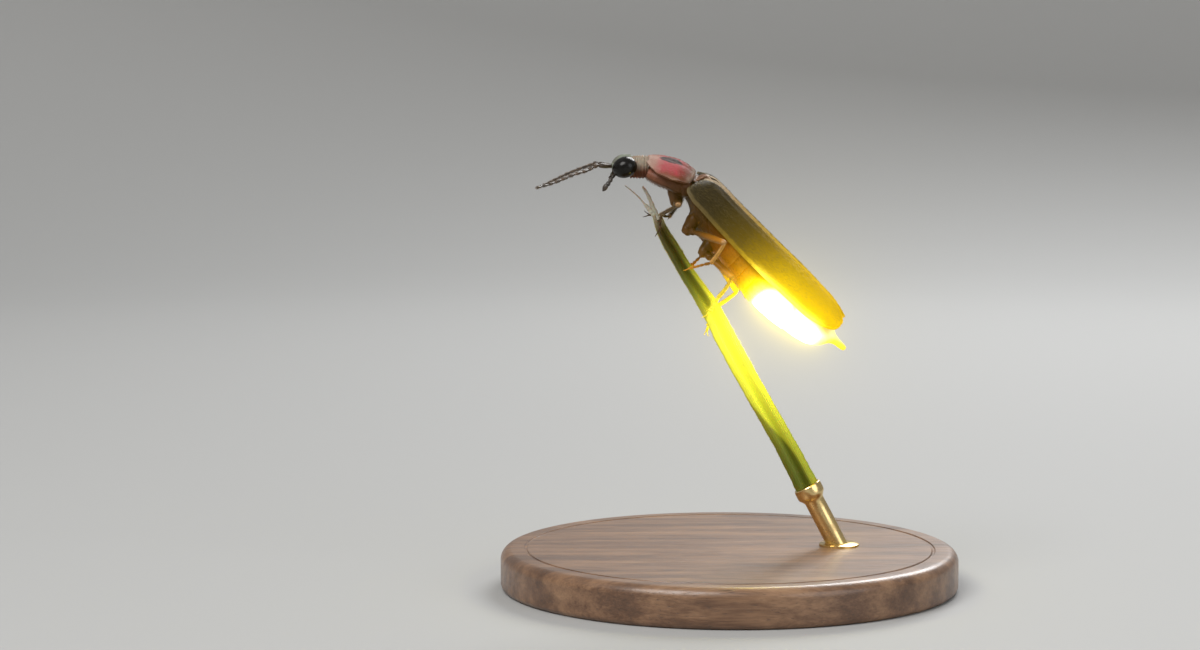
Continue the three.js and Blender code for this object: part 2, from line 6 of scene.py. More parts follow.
import bmesh
import bpy
import numpy as np
from mathutils import Matrix, Vector


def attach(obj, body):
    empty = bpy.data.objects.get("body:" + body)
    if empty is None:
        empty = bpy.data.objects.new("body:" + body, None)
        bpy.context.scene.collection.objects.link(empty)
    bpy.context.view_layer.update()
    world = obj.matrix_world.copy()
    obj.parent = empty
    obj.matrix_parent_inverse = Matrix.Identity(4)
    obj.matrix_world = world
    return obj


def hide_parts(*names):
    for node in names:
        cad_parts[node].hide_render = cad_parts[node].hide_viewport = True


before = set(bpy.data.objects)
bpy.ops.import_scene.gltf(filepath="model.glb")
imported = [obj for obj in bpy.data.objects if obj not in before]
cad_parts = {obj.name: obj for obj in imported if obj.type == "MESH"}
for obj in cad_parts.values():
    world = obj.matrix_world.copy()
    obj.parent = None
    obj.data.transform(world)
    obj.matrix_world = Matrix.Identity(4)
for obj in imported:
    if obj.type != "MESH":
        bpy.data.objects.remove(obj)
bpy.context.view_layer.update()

MM = 0.001
TURN = 2 * math.pi
SIDES = {"left": -1, "right": 1}
SKIN_INSET = 0.015


# Frames of the insect's three lengths, each an origin, a pitch and a roll

def body_frame(origin, pitch, roll):
    turn = Matrix.Rotation(math.radians(pitch), 4, "Y") @ Matrix.Rotation(math.radians(roll), 4, "X")
    return np.array(Matrix.Translation(origin) @ turn)


WORLD = np.eye(4)
HIND_BODY = body_frame((-1.65, 0, 20.65), 43.5, 14)
PROTHORAX = body_frame((-1.7, 0, 20.9), 20, 13)
HEAD = body_frame((-5.3, 0, 21.17), 0, 0)


def moved(points, place):
    return np.asarray(points) @ place[:3, :3].T + place[:3, 3]


# Numbers, curves and rings

def unit(vectors):
    return vectors / np.maximum(np.linalg.norm(vectors, axis=-1, keepdims=True), 1e-12)


def mix(a, b, share):
    return a + (b - a) * share


def smoothstep(low, high, value):
    share = np.clip((value - low) / (high - low), 0, 1)
    return share * share * (3 - 2 * share)


def bump(value, middle, width):
    return np.exp(-(((value - middle) / width) ** 2))


def rounded(past, least=0.02):
    """A round end's width: 1 where past is under 0, then down a quarter circle to the root of least."""
    return np.sqrt(np.maximum(least, 1 - np.maximum(0, past) ** 2))


def steps(count):
    return np.linspace(0, 1, count)


def eased(count):
    """From 0 to 1 in steps that shorten towards both ends."""
    return np.sin(np.linspace(-math.pi / 2, math.pi / 2, count)) / 2 + 0.5


def round_turn(count):
    """Angles evenly round a ring, in one row."""
    return np.linspace(0, TURN, count, endpoint=False)[None]


def side_waves(count):
    """How high each place round a ring lies, and how far to either side, as shares of 1."""
    turn = round_turn(count)
    return np.sin(turn), np.abs(np.cos(turn))


def together(*values):
    """Arrays stretched to one size, as the coordinates of points."""
    return np.stack(np.broadcast_arrays(*values), axis=-1)


def profile(rows):
    """A smooth curve through rows of (position, value, value...), read at any positions."""
    table = np.array(rows, float)
    at, values = table[:, 0], table[:, 1:]
    slopes = np.gradient(values, at, axis=0)

    def read(position):
        position = np.clip(np.asarray(position, float), at[0], at[-1])
        first = np.clip(np.searchsorted(at, position) - 1, 0, len(at) - 2)
        span = at[first + 1] - at[first]
        t = ((position - at[first]) / span)[..., None]
        span = span[..., None]
        start, end = values[first], values[first + 1]
        return (start * (1 + 2 * t) * (1 - t) ** 2 + end * t * t * (3 - 2 * t)
                + span * t * (1 - t) * (slopes[first] * (1 - t) - slopes[first + 1] * t))

    return read


def curve(places, count):
    """Points at even distances along a smooth curve through a few places."""
    places = np.array(places, float)
    lengths = np.concatenate([[0], np.cumsum(np.linalg.norm(np.diff(places, axis=0), axis=1))])
    return profile(np.column_stack([lengths, places]))(np.linspace(0, lengths[-1], count))


def line(start, end, count, bow=(0, 0, 0)):
    """Points from start to end, bent sideways by bow at the middle."""
    t = steps(count)[:, None]
    return mix(np.array(start, float), np.array(end, float), t) + np.array(bow) * 4 * t * (1 - t)


def tube(path, radii, sides=12, flat=1.0):
    """Rings round a path, with a half-width at each point and a depth of flat times that."""
    path = np.asarray(path, float)
    radii = np.broadcast_to(radii, len(path))[:, None, None]
    along = unit(np.gradient(path, axis=0))
    guide = np.eye(3)[np.argmin(np.abs(path[-1] - path[0]))]
    across = unit(np.cross(along, guide))
    deep = np.cross(across, along)
    angle = round_turn(sides)[..., None]
    return path[:, None] + radii * (across[:, None] * np.cos(angle) + flat * deep[:, None] * np.sin(angle))


def oval(x, half_width, top, bottom, count, widest=0.5, keel=2.0, lean=0.0, roof=1.0):
    """Rings across x, each with its own top and bottom about its widest level."""
    x, half_width, top, bottom, widest, keel, lean = (
        np.broadcast_to(value, len(x))[:, None] for value in (x, half_width, top, bottom, widest, keel, lean))
    cosine, sine = np.cos(round_turn(count)), np.sin(round_turn(count))
    level = mix(bottom, top, widest)
    rise = np.abs(sine) ** np.where(sine < 0, 2 / keel, roof)
    height = np.sign(sine) * rise * np.where(sine < 0, level - bottom, top - level)
    across = np.sign(cosine) * np.abs(cosine) ** np.where(sine < 0, 2 / keel, 1) * half_width
    return together(x + lean * (top - level - height), across, level + height)


def dented(rows, level, dent):
    """Rings drawn in by dent towards the middle line, which lies at the given level."""
    centre = together(rows[..., 0], 0, level[:, None])
    arm = rows - centre
    reach = np.maximum(np.linalg.norm(arm, axis=-1), 1e-6)
    return centre + arm * (1 - np.minimum((dent + SKIN_INSET) / reach, 0.5))[..., None]


def turned(outline, count=160):
    """Rings round z through (radius, height) places, from the underside to the top."""
    radius, height = np.array(outline).T[..., None]
    return together(radius * np.cos(round_turn(count)), radius * np.sin(round_turn(count)), height)


# Meshes

def placed(name, data):
    """A new object in the scene, showing the given data."""
    made = bpy.data.objects.new(name, data)
    bpy.context.scene.collection.objects.link(made)
    return made


class Shape:
    """Points in one frame, gathered from grids into one mesh that keeps three marks at each point."""

    def __init__(self, place=WORLD):
        self.place = place
        self.points, self.marks, self.faces, self.patches = [], [], [], []
        self.count = 0

    def add(self, points, faces, marks=(0, 0, 0), patches=None):
        points = np.asarray(points, float).reshape(-1, 3)
        self.faces += [[self.count + corner for corner in face] for face in faces]
        self.points.append(moved(points, self.place))
        self.marks.append(np.broadcast_to(np.asarray(marks, float).reshape(-1, 3), points.shape))
        if patches is not None:
            self.patches.append(patches)
        self.count += len(points)

    def grid(self, rows, marks=(0, 0, 0), caps=True):
        """Closed rings of points, joined into a tube with flat ends."""
        index = np.arange(rows.shape[0] * rows.shape[1]).reshape(rows.shape[:2])
        right = np.roll(index, -1, axis=1)
        faces = np.stack([index[:-1], right[:-1], right[1:], index[1:]], axis=-1).reshape(-1, 4).tolist()
        if caps:
            faces += [index[0][::-1].tolist(), index[-1].tolist()]
        self.add(rows, faces, marks)
        return self

    def piece(self, name, finish, crease=50):
        mesh = bpy.data.meshes.new(name)
        mesh.from_pydata((np.concatenate(self.points) * MM).tolist(), [], self.faces)
        mark = mesh.attributes.new("mark", "FLOAT_VECTOR", "POINT")
        mark.data.foreach_set("vector", np.concatenate(self.marks).ravel())
        if self.patches:
            corners = np.empty(len(mesh.loops), int)
            mesh.loops.foreach_get("vertex_index", corners)
            layer = mesh.uv_layers.new(name="OFBake")
            layer.data.foreach_set("uv", np.concatenate(self.patches)[corners].ravel())
        work = bmesh.new()
        work.from_mesh(mesh)
        bmesh.ops.recalc_face_normals(work, faces=work.faces)
        work.to_mesh(mesh)
        work.free()
        mesh.shade_smooth()
        mesh.set_sharp_from_angle(angle=math.radians(crease))
        mesh.materials.append(finish.material)
        return placed(name, mesh)

    def build(self, name, finish, slot, replaces=(), crease=50):
        piece = self.piece(name, finish, crease)
        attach(piece, "root")
        if replaces:
            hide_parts(*replaces)


# Finishes: a Principled material each, and the values that its nodes work out

class Value:
    """A number, vector or colour at each point of a surface."""

    def __init__(self, finish, socket):
        self.finish, self.socket = finish, socket

    def math(self, operation, other=0.0):
        return self.finish.node("Math", {0: self, 1: other}, operation=operation)

    def __add__(self, other):
        return self.math("ADD", other)

    def __sub__(self, other):
        return self.math("SUBTRACT", other)

    def __mul__(self, other):
        return self.math("MULTIPLY", other)

    def __abs__(self):
        return self.math("ABSOLUTE")

    def span(self, low, high, to_low=0.0, to_high=1.0):
        """Maps the range from low to high to another one, held at its ends."""
        inputs = {0: self, 1: low, 2: high, 3: to_low, 4: to_high}
        return self.finish.node("MapRange", inputs, clamp=True, interpolation_type="SMOOTHSTEP")

    def ramp(self, stops):
        """A colour for each value, from stops of a position with red, green and blue, or with one grey."""
        made = self.finish.tree.nodes.new("ShaderNodeValToRGB")
        elements = made.color_ramp.elements
        while len(elements) < len(stops):
            elements.new(0.5)
        for element, (position, *colour) in zip(elements, stops):
            element.position = position
            element.color = (*(np.ones(3) * colour), 1)
        self.finish.feed(made.inputs[0], self)
        return Value(self.finish, made.outputs[0])

    def blend(self, a, b):
        """Colour a where this value is 0, colour b where it is 1."""
        return self.finish.node("Mix", {"Factor": self, 6: a, 7: b}, output=2, data_type="RGBA")


class Finish:
    def __init__(self, name, **sockets):
        self.material = bpy.data.materials.new(name)
        self.material.use_nodes = True
        self.tree = self.material.node_tree
        self.shader = self.tree.nodes["Principled BSDF"]
        for socket, value in sockets.items():
            self.shader.inputs[socket.replace("_", " ")].default_value = value

    def feed(self, socket, value):
        if isinstance(value, Value):
            self.tree.links.new(value.socket, socket)
        elif socket.type == "RGBA":
            socket.default_value = (*value, 1)
        else:
            socket.default_value = value

    def node(self, kind, inputs, output=0, **settings):
        made = self.tree.nodes.new("ShaderNode" + kind)
        for key, value in settings.items():
            setattr(made, key, value)
        for key, value in inputs.items():
            self.feed(made.inputs[key], value)
        return Value(self, made.outputs[output])

    def marks(self):
        """The three numbers that the mesh keeps at each point."""
        mark = self.node("Attribute", {}, output="Vector", attribute_name="mark")
        split = self.node("SeparateXYZ", {0: mark}).socket.node
        return [Value(self, output) for output in split.outputs]

    def where(self, scale=(1, 1, 1)):
        """The place on the object, in millimetres times scale."""
        place = self.node("TexCoord", {}, output="Object")
        return self.node("VectorMath", {0: place, 1: [part / MM for part in scale]}, operation="MULTIPLY")

    def noise(self, scale, detail=3.0, roughness=0.55, vector=None):
        """Noise with about scale grains to a millimetre."""
        inputs = {"Vector": vector or self.where(), "Scale": scale, "Detail": detail, "Roughness": roughness}
        return self.node("TexNoise", inputs)

    def cells(self, scale, feature="F1"):
        inputs = {"Vector": self.where(), "Scale": scale}
        return self.node("TexVoronoi", inputs, output="Distance", feature=feature)

    def colour(self, value):
        self.feed(self.shader.inputs["Base Color"], value)

    def roughness(self, value):
        self.feed(self.shader.inputs["Roughness"], value)

    def relief(self, height, depth, strength=1.0):
        """A bump whose full height is depth millimetres."""
        inputs = {"Height": height, "Distance": depth * MM, "Strength": strength}
        self.feed(self.shader.inputs["Normal"], self.node("Bump", inputs))

    def glow(self, colour, strength):
        self.feed(self.shader.inputs["Emission Color"], colour)
        self.feed(self.shader.inputs["Emission Strength"], strength)


def cuticle_finish(name, dark, light, roughness):
    finish = Finish(name, Roughness=roughness, Coat_Weight=0.25, Coat_Roughness=0.25)
    finish.colour(finish.noise(3.2, detail=4).span(0.35, 0.7).blend(dark, light))
    finish.relief(finish.cells(22) + finish.noise(40, detail=2), 0.006, 0.6)
    return finish


# Hairs: each a curved three-sided needle, whose patch on the OFBake map lies at its root

PATCH_SIZE = 0.003
PATCH_MARGIN = 0.02
HAIR_JITTER = 0.16
NEEDLE_FACES = [(2, 1, 0), (0, 1, 4, 3), (1, 2, 5, 4), (2, 0, 3, 5), (3, 4, 6), (4, 5, 6), (5, 3, 6)]
NEEDLE_PATCH = np.array([(0, 0), (1, 0), (0.5, 1), (0, 0.5), (1, 0.5), (0.5, 0.7), (0.5, 0.4)])
COATS = {
    # seed, hairs in one cover, length, thickness, lift in degrees, dark colour, light colour
    "trunk": (23, 2600, 0.16, 0.008, 28, (0.1, 0.04, 0.008), (0.34, 0.16, 0.03)),
    "elytra": (3, 4600, 0.15, 0.009, 15, (0.028, 0.019, 0.006), (0.13, 0.09, 0.026)),
    "pronotum": (5, 1500, 0.1, 0.006, 20, (0.24, 0.07, 0.06), (0.42, 0.2, 0.16)),
    "prothorax": (7, 700, 0.16, 0.008, 30, (0.1, 0.04, 0.014), (0.28, 0.13, 0.045)),
    "antenna": (11, 60, 0.1, 0.009, 38, (0.1, 0.06, 0.035), (0.36, 0.26, 0.17)),
    "leg": (13, 260, 0.12, 0.008, 32, (0.12, 0.07, 0.03), (0.42, 0.3, 0.13)),
    "grass_edge": (19, 420, 0.12, 0.012, 30, (0.4, 0.43, 0.06), (0.66, 0.66, 0.2)),
}
WHOLE_MAP = (0, 0, 1, 1)


class Coat(Shape):
    """Hairs in shades from dark to light, and of the colour rear towards the end of the coat."""

    def __init__(self, name, rear=None):
        super().__init__()
        seed, self.hairs, self.length, self.thickness, self.lift, dark, light = COATS[name]
        self.name, self.random = name, np.random.default_rng(seed)
        self.finish = Finish(name + "_hair", Roughness=0.5, Specular_IOR_Level=0.2)
        share, place, _ = self.finish.marks()
        own = share.blend(dark, light)
        self.finish.colour(place.span(0.35, 0.85).blend(own, rear) if rear else own)

    def grow(self, slot):
        self.build(self.name + "_hairs", self.finish, slot)

    def cover(self, rows, place, window=WHOLE_MAP, weight=1.0, lie=1, density=1.0):
        """Hairs spread evenly by area on rings of points, leaning from the surface by the angle lift.
        window is their part of the OFBake map, weight says where they grow, and lie is 1 for hairs that
        point to the later rows, -1 for the other way."""
        count = round(self.hairs * density)
        grid = moved(rows, place)
        middle = grid.mean(axis=1, keepdims=True)
        ring = np.concatenate([grid, grid[:, :1]], axis=1)
        corner = ring[:-1, :-1]
        down, over = ring[1:, :-1] - corner, ring[:-1, 1:] - corner
        facing = np.cross(down, over)
        chance = np.linalg.norm(facing, axis=-1) * np.broadcast_to(weight, rows.shape[:2])[:-1]
        chosen = self.random.choice(chance.size, count, p=(chance / chance.sum()).ravel())
        row, column = np.unravel_index(chosen, chance.shape)
        share = self.random.random((2, count, 1))
        root = corner[row, column] + share[0] * down[row, column] + share[1] * over[row, column]
        normal = unit(facing[row, column])
        normal *= np.sign(np.sum(normal * (root - middle[row, 0]), axis=-1, keepdims=True))
        lean = unit(unit(down[row, column]) * lie)
        spot = np.column_stack([row + share[0, :, 0], column + share[1, :, 0]]) / chance.shape
        low, high = np.array(window[:2]), np.array(window[2:])
        patch = mix(low, high, PATCH_MARGIN + (1 - 2 * PATCH_MARGIN) * spot)
        self.needles(root, normal, lean, patch)

    def needles(self, root, normal, lean, patch):
        """The marks are a random number, the root's place along the coat and another random number."""
        count = len(root)
        angle = math.radians(self.lift) * self.random.uniform(0.6, 1.4, (count, 1))
        jitter = self.random.normal(0, HAIR_JITTER, (count, 3))
        start = unit(normal * np.sin(angle) + lean * np.cos(angle) + jitter)
        end = unit(start + lean * 0.35 - normal * 0.15)
        size = self.length * self.random.uniform(0.65, 1.2, (count, 1))
        side = unit(np.cross(start, normal + jitter))
        back = np.cross(side, start)
        foot = root - start * size * 0.08
        waist = root + start * size * 0.5
        points = np.empty((count, 7, 3))
        for corner in range(3):
            turn = corner * TURN / 3
            outward = side * math.cos(turn) + back * math.sin(turn)
            points[:, corner] = foot + outward * self.thickness / 2
            points[:, corner + 3] = waist + outward * self.thickness * 0.36
        points[:, 6] = waist + end * size * 0.5
        faces = [[7 * hair + corner for corner in face] for hair in range(count) for face in NEEDLE_FACES]
        patches = (patch[:, None] + (NEEDLE_PATCH - 0.5) * PATCH_SIZE).reshape(-1, 2)
        marks = np.repeat(self.random.random((count, 1, 3)), 7, axis=1)
        marks[..., 1] = patch[:, :1]
        self.add(points, faces, marks, patches)


# Trunk: thorax, abdomen, lantern and tail spike as one skin of overlapping plates

CHEST_END, TAIL_START = 3.42, 10.33
TRUNK_FRONT, TRUNK_REAR = -0.16, 11.36
SEAMS = np.array((-1, CHEST_END, 4.13, 4.79, 5.46, 6.15, 8.29, TAIL_START, 13))
PLATE_LIP = (-0.05, -0.02, 0, 0.03)
TRUNK = profile([
    # x, half width, top, bottom, lean, widest, keel
    (TRUNK_FRONT, 0.86, -0.36, -1.2, 0.44, 0.62, 1.3), (0.1, 0.98, -0.22, -1.35, 0.435, 0.62, 1.2),
    (0.7, 1.22, -0.2, -1.86, 0.36, 0.62, 1.2), (1.5, 1.46, -0.3, -2.16, 0.2, 0.62, 1.2),
    (2.4, 1.58, -0.34, -2.28, 0.06, 0.62, 1.25), (3.1, 1.55, -0.37, -2.31, 0, 0.6, 1.5),
    (3.5, 1.5, -0.4, -2.26, 0, 0.55, 1.9), (4.2, 1.66, -0.4, -2.4, 0, 0.52, 2),
    (5, 1.8, -0.38, -2.58, 0, 0.52, 2), (6.1, 1.86, -0.39, -2.75, 0, 0.52, 2),
    (7.2, 1.8, -0.44, -2.74, 0, 0.52, 2), (8.3, 1.66, -0.46, -2.62, 0, 0.52, 2),
    (9.2, 1.4, -0.56, -2.48, 0, 0.52, 2), (9.9, 1.08, -0.68, -2.22, 0, 0.52, 2),
    (TAIL_START, 0.68, -0.86, -1.84, 0, 0.52, 2), (10.5, 0.44, -0.96, -1.58, 0, 0.5, 2),
    (10.7, 0.34, -1.0, -1.45, 0, 0.5, 2), (11.05, 0.26, -1.03, -1.39, 0, 0.5, 2),
    (11.25, 0.2, -1.05, -1.35, 0, 0.5, 2), (11.33, 0.13, -1.09, -1.3, 0, 0.5, 2),
    (TRUNK_REAR, 0.04, -1.15, -1.24, 0, 0.5, 2)])
TRUNK_SCALE = 12
TRUNK_SIDES = 112
CHEST_HAIRS_END, BELLY_HAIRS_END = 3.4, 6.1


def trunk_dents(station, within, sine, cosine):
    """How deep the furrows lie: along the belly's folds, the chest's seams and the waist."""
    belly = smoothstep(3.3, 3.8, station) * (1 - smoothstep(9.6, 10.3, station))
    chest = 1 - smoothstep(3.2, 3.45, station)
    under = smoothstep(0.1, -0.3, sine)
    fold = 0.06 * bump(sine, 0.14, 0.1) + 0.05 * bump(within, 0.45, 0.07) * bump(sine, 0.34, 0.05)
    wrinkles = 0.012 * np.sin(station * 37) * bump(sine, 0.14, 0.16)
    seams = 0.05 * bump(station, 1.28 + 0.25 * cosine, 0.05) * under + 0.05 * under * bump(cosine, 0, 0.07)
    slant = 0.045 * bump(station, 1.9 - 0.75 * sine, 0.06) * smoothstep(0.3, 0.7, cosine)
    return belly * (fold + wrinkles) + chest * (seams + slant) + 0.09 * bump(station, 3.36, 0.07)


def trunk_rows():
    edges = [seam + step for seam in SEAMS[1:-1] for step in PLATE_LIP]
    x = np.unique(np.concatenate([np.linspace(TRUNK_FRONT, TRUNK_REAR, 240), edges]))
    half, top, bottom, lean, widest, keel = TRUNK(x).T
    plate = np.clip(np.searchsorted(SEAMS, x, side="right") - 1, 0, len(SEAMS) - 2)
    within = (x - SEAMS[plate]) / np.diff(SEAMS)[plate]
    swell = 0.95 + 0.045 * np.sin(np.minimum(within / 0.9, 1) * math.pi / 2) * smoothstep(3.2, 3.6, x)
    swell = np.where(x < CHEST_END, 0.985, np.where(x > TAIL_START, 0.96, swell))
    middle = (top + bottom) / 2
    top_edge, bottom_edge = mix(middle, top, swell), mix(middle, bottom, swell)
    rows = oval(x, half * swell, top_edge, bottom_edge, TRUNK_SIDES, widest, keel, lean)
    sine, cosine = side_waves(TRUNK_SIDES)
    station, within = x[:, None], within[:, None]
    rows = dented(rows, mix(bottom, top, widest), trunk_dents(station, within, sine, cosine))
    return rows, together(station / TRUNK_SCALE, 0.5 + sine / 2, within)


# Belly colours along the trunk: a dark chest, then orange that brightens towards the lantern as painted
# lantern light, then the lantern's own pale cream.
BELLY_COLOURS = [
    (0.0, 0.065, 0.026, 0.006), (0.14, 0.07, 0.026, 0.004), (0.22, 0.17, 0.047, 0.004),
    (0.28, 0.42, 0.13, 0.006), (0.38, 0.58, 0.25, 0.008), (0.47, 0.8, 0.46, 0.02),
    (0.53, 0.93, 0.9, 0.5), (0.85, 0.93, 0.9, 0.5), (0.885, 0.9, 0.74, 0.12), (1.0, 0.85, 0.62, 0.08)]
LANTERN_GLOW = 5.0
# GLOW_FRONT with the orange GLOW_HUES makes the abdomen ahead of the lantern glow, and GLOW_REAR the tail
# behind it: painted lantern light on skin that gives no light.
GLOW_FRONT = [(0.1, 0.0), (0.24, 0.008), (0.36, 0.03), (0.42, 0.08), (0.455, 0.2), (0.485, 0.5), (0.52, 1.0)]
GLOW_REAR = [(0.67, 1.0), (0.688, 0.5), (0.705, 1.0), (0.81, 1.0), (0.84, 0.4), (0.865, 0.2), (0.95, 0.14)]
GLOW_HUES = [
    (0.24, 1.0, 0.22, 0.0), (0.4, 1.0, 0.46, 0.0), (0.46, 1.0, 0.76, 0.0), (0.5, 1.0, 0.9, 0.06),
    (0.53, 1.0, 0.98, 0.42), (0.81, 1.0, 0.98, 0.42), (0.86, 1.0, 0.85, 0.03), (1.0, 1.0, 0.72, 0.02)]


def trunk_finish():
    """The marks are the place along the trunk, the height and the place within the plate."""
    finish = Finish("trunk_skin", Roughness=0.45, Specular_IOR_Level=0.14, Coat_Weight=0.03,
                    Coat_Roughness=0.3)
    along, height, within = finish.marks()
    belly = (along + (finish.noise(5, detail=4) - 0.5) * 0.03).ramp(BELLY_COLOURS)
    in_abdomen = along.span(0.28, 0.31) * along.span(0.52, 0.5)
    edged = (within.span(0.8, 1.0) * in_abdomen * 0.5).blend(belly, (0.75, 0.4, 0.05))
    sided = (height.span(0.46, 0.56) * in_abdomen * 0.4).blend(edged, (0.6, 0.26, 0.02))
    back = height.span(0.62, 0.78) * along.span(0.84, 0.74)
    finish.colour((back * 0.85).blend(sided, (0.075, 0.042, 0.026)))
    off_middle = height - 0.35
    bulge = off_middle * off_middle * 0.2
    front, rear = along - bulge, along + bulge
    # Glow beyond the lantern plates, on the abdomen ahead and over the tail's upper side, is painted lantern
    # light.
    lower = height.span(0.6, 0.85, 1.0, 0.1).math("MAXIMUM", along.span(0.82, 0.88))
    finish.glow(front.ramp(GLOW_HUES), front.ramp(GLOW_FRONT) * rear.ramp(GLOW_REAR) * lower * LANTERN_GLOW)
    finish.relief(finish.cells(17) + finish.noise(26), 0.012, 0.7)
    return finish


def make_trunk():
    rows, marks = trunk_rows()
    nodes = ("thorax", "abdomen", "lantern_front", "lantern_rear", "abdomen_tip")
    Shape(HIND_BODY).grid(rows, marks).build("trunk_skin", trunk_finish(), "belly", nodes, crease=70)
    hairs = Coat("trunk")
    low = side_waves(TRUNK_SIDES)[0] < 0.4
    station = rows[..., 0]
    weight = low * np.where(station < CHEST_HAIRS_END, 2.2, np.where(station < BELLY_HAIRS_END, 1.0, 0))
    hairs.cover(rows, HIND_BODY, weight=weight)
    hairs.grow("cuticle")


# Elytra: thin horny cases with beaded rims, ribs and a dimpled face

ELYTRON_FRONT, ELYTRON_LENGTH, ELYTRON_WIDTH = 0.42, 10.25, 2.3
ELYTRON_SLANT, ELYTRON_ROOF, ELYTRON_DROP = 0.76, 0.45, 1.18
ELYTRON_SHEET = 0.11
ELYTRON_RIDGE = profile([
    (0, 0), (0.42, 0.4), (0.75, 0.58), (1.2, 0.61), (2.2, 0.56), (5, 0.48), (8, 0.4), (9.4, 0.27),
    (ELYTRON_LENGTH, 0.02)])
SHOULDER_ROUND, REAR_ROUND, CORNER_ROUND = 0.75, 2.3, 0.9
REAR_POWER = 2.4
TIP_MIDDLE = 0.7
RIBS = (0.34, 0.62)


def elytron_edges(x):
    """How far the inner and outer edge lie from the middle line."""
    belly = 0.92 + 0.08 * np.sin(math.pi * np.minimum(x / ELYTRON_LENGTH, 1))
    shoulder = np.maximum(0, 1 - (x - ELYTRON_FRONT) / SHOULDER_ROUND)
    rear = np.maximum(0, 1 + (x - ELYTRON_LENGTH) / REAR_ROUND)
    rounding = np.maximum(0, 1 - rear ** REAR_POWER) ** (1 / REAR_POWER)
    outer = mix(TIP_MIDDLE, ELYTRON_WIDTH * belly, rounding) - 0.62 * (1 - rounded(shoulder, 0))
    inner = mix(TIP_MIDDLE, 0.03, rounded(1 + (x - ELYTRON_LENGTH) / CORNER_ROUND, 0)) + 0.3 * shoulder
    return inner, outer


def elytron_height(x, y):
    share = y / ELYTRON_WIDTH
    fade = smoothstep(0.6, 2, x) * (1 - smoothstep(7, 9, x))
    ribs = sum(0.025 * bump(share, at, 0.06) for at in RIBS)
    fall = ELYTRON_ROOF * share + (ELYTRON_DROP - ELYTRON_ROOF) * share ** 2.4
    return ELYTRON_RIDGE(x)[..., 0] - fall + ribs * fade - SKIN_INSET


def elytron_rows(side):
    x = mix(ELYTRON_FRONT, ELYTRON_LENGTH, mix(steps(150), eased(150), 0.6) * 0.998)[:, None]
    inner, outer = elytron_edges(x)
    top = eased(56)[::-1][None]
    y = mix(inner, outer, top)
    rim = np.minimum(y - inner, outer - y)
    bead = 0.025 * bump(rim, 0.03, 0.045) - 0.03 * bump(rim, 0.17, 0.06)
    rolled = 0.05 * np.maximum(0, 1 - rim / 0.05) ** 2
    face = together(x, y, elytron_height(x, y) + bead - rolled)
    y_low = mix(inner, outer, mix(steps(30)[None, 1:-1], 0.5, 0.04))
    sheet = ELYTRON_SHEET * np.minimum(1, np.minimum(y_low - inner, outer - y_low) / 0.1 + 0.4)
    under = together(x, y_low, elytron_height(x, y_low) - sheet)
    rows = np.concatenate([face, under], axis=1)
    marks = together(x / ELYTRON_LENGTH, rows[..., 1] - inner, outer - rows[..., 1])
    shoulder_fade = 1 - smoothstep(0, 3, rows[..., 0])
    rows[..., 0] -= ELYTRON_SLANT * rows[..., 1] / ELYTRON_WIDTH * shoulder_fade
    return rows * (1, side, 1), marks, top.shape[1]


# The cases' own colour is dark brown with a pale rim and a cream suture; towards the rear the ramps turn
# orange and gold, which is painted lantern light.
CASE_FACE = [
    (0.0, 0.026, 0.021, 0.012), (0.12, 0.02, 0.014, 0.006), (0.22, 0.026, 0.017, 0.003),
    (0.36, 0.06, 0.036, 0.002), (0.5, 0.17, 0.1, 0.002), (0.65, 0.36, 0.23, 0.002), (1.0, 0.5, 0.31, 0.002)]
CASE_CREAM = [
    (0.0, 0.44, 0.37, 0.28), (0.12, 0.42, 0.32, 0.21), (0.22, 0.38, 0.26, 0.12), (0.36, 0.38, 0.25, 0.07),
    (0.55, 0.42, 0.28, 0.03), (0.8, 0.5, 0.33, 0.02)]
CASE_RIM = [
    (0.0, 0.12, 0.092, 0.05), (0.2, 0.11, 0.075, 0.022), (0.36, 0.24, 0.15, 0.01), (0.5, 0.56, 0.37, 0.02),
    (0.7, 0.85, 0.62, 0.03)]
CASE_LANTERN_LIGHT = [(0.18, 0.0), (0.36, 0.04), (0.5, 0.15), (0.65, 0.3), (0.9, 0.42)]


def elytron_finish():
    """The marks are the place along the case and the distances from its suture and from its outer rim."""
    finish = Finish("elytron_case", Specular_IOR_Level=0.09, Coat_Weight=0.02, Coat_Roughness=0.35)
    along, from_suture, from_rim = finish.marks()
    grain = finish.noise(7, detail=5)
    wander = (grain - 0.5) * 0.1
    wandering = along + wander
    streaks = finish.noise(1.0, detail=4, vector=finish.where((4, 26, 4)))
    streaked = streaks.span(0.4, 0.8, 0.0, 0.16).blend(wandering.ramp(CASE_FACE), (0.08, 0.05, 0.01))
    fading = along.span(0.98, 0.86)
    rim = (from_rim + wander).span(0.22, 0.12) * fading
    dull = rim.math("MAXIMUM", wandering.span(0.06, 0.044) * 0.6)
    suture = (from_suture + wander).span(0.31, 0.2) * fading
    finish.colour(suture.blend(dull.blend(streaked, along.ramp(CASE_RIM)), along.ramp(CASE_CREAM)))
    # Painted lantern light: the cases glow orange to gold along the outer rim and towards the rear, though
    # they give no light.
    rim_lantern_light = from_rim.span(0.4, 0.0) * along.span(0.42, 0.56) * along.span(0.95, 0.86)
    glow = along.ramp(CASE_LANTERN_LIGHT) * from_rim.span(0.0, 1.6, 1.5, 0.7) + rim_lantern_light
    finish.glow(rim_lantern_light.blend((1.0, 0.6, 0.0), (1.0, 0.94, 0.1)), glow)
    finish.relief(finish.cells(13, feature="SMOOTH_F1") + finish.noise(30) * 0.6, 0.016, 0.7)
    finish.roughness(grain.span(0.3, 0.7, 0.38, 0.5))
    return finish


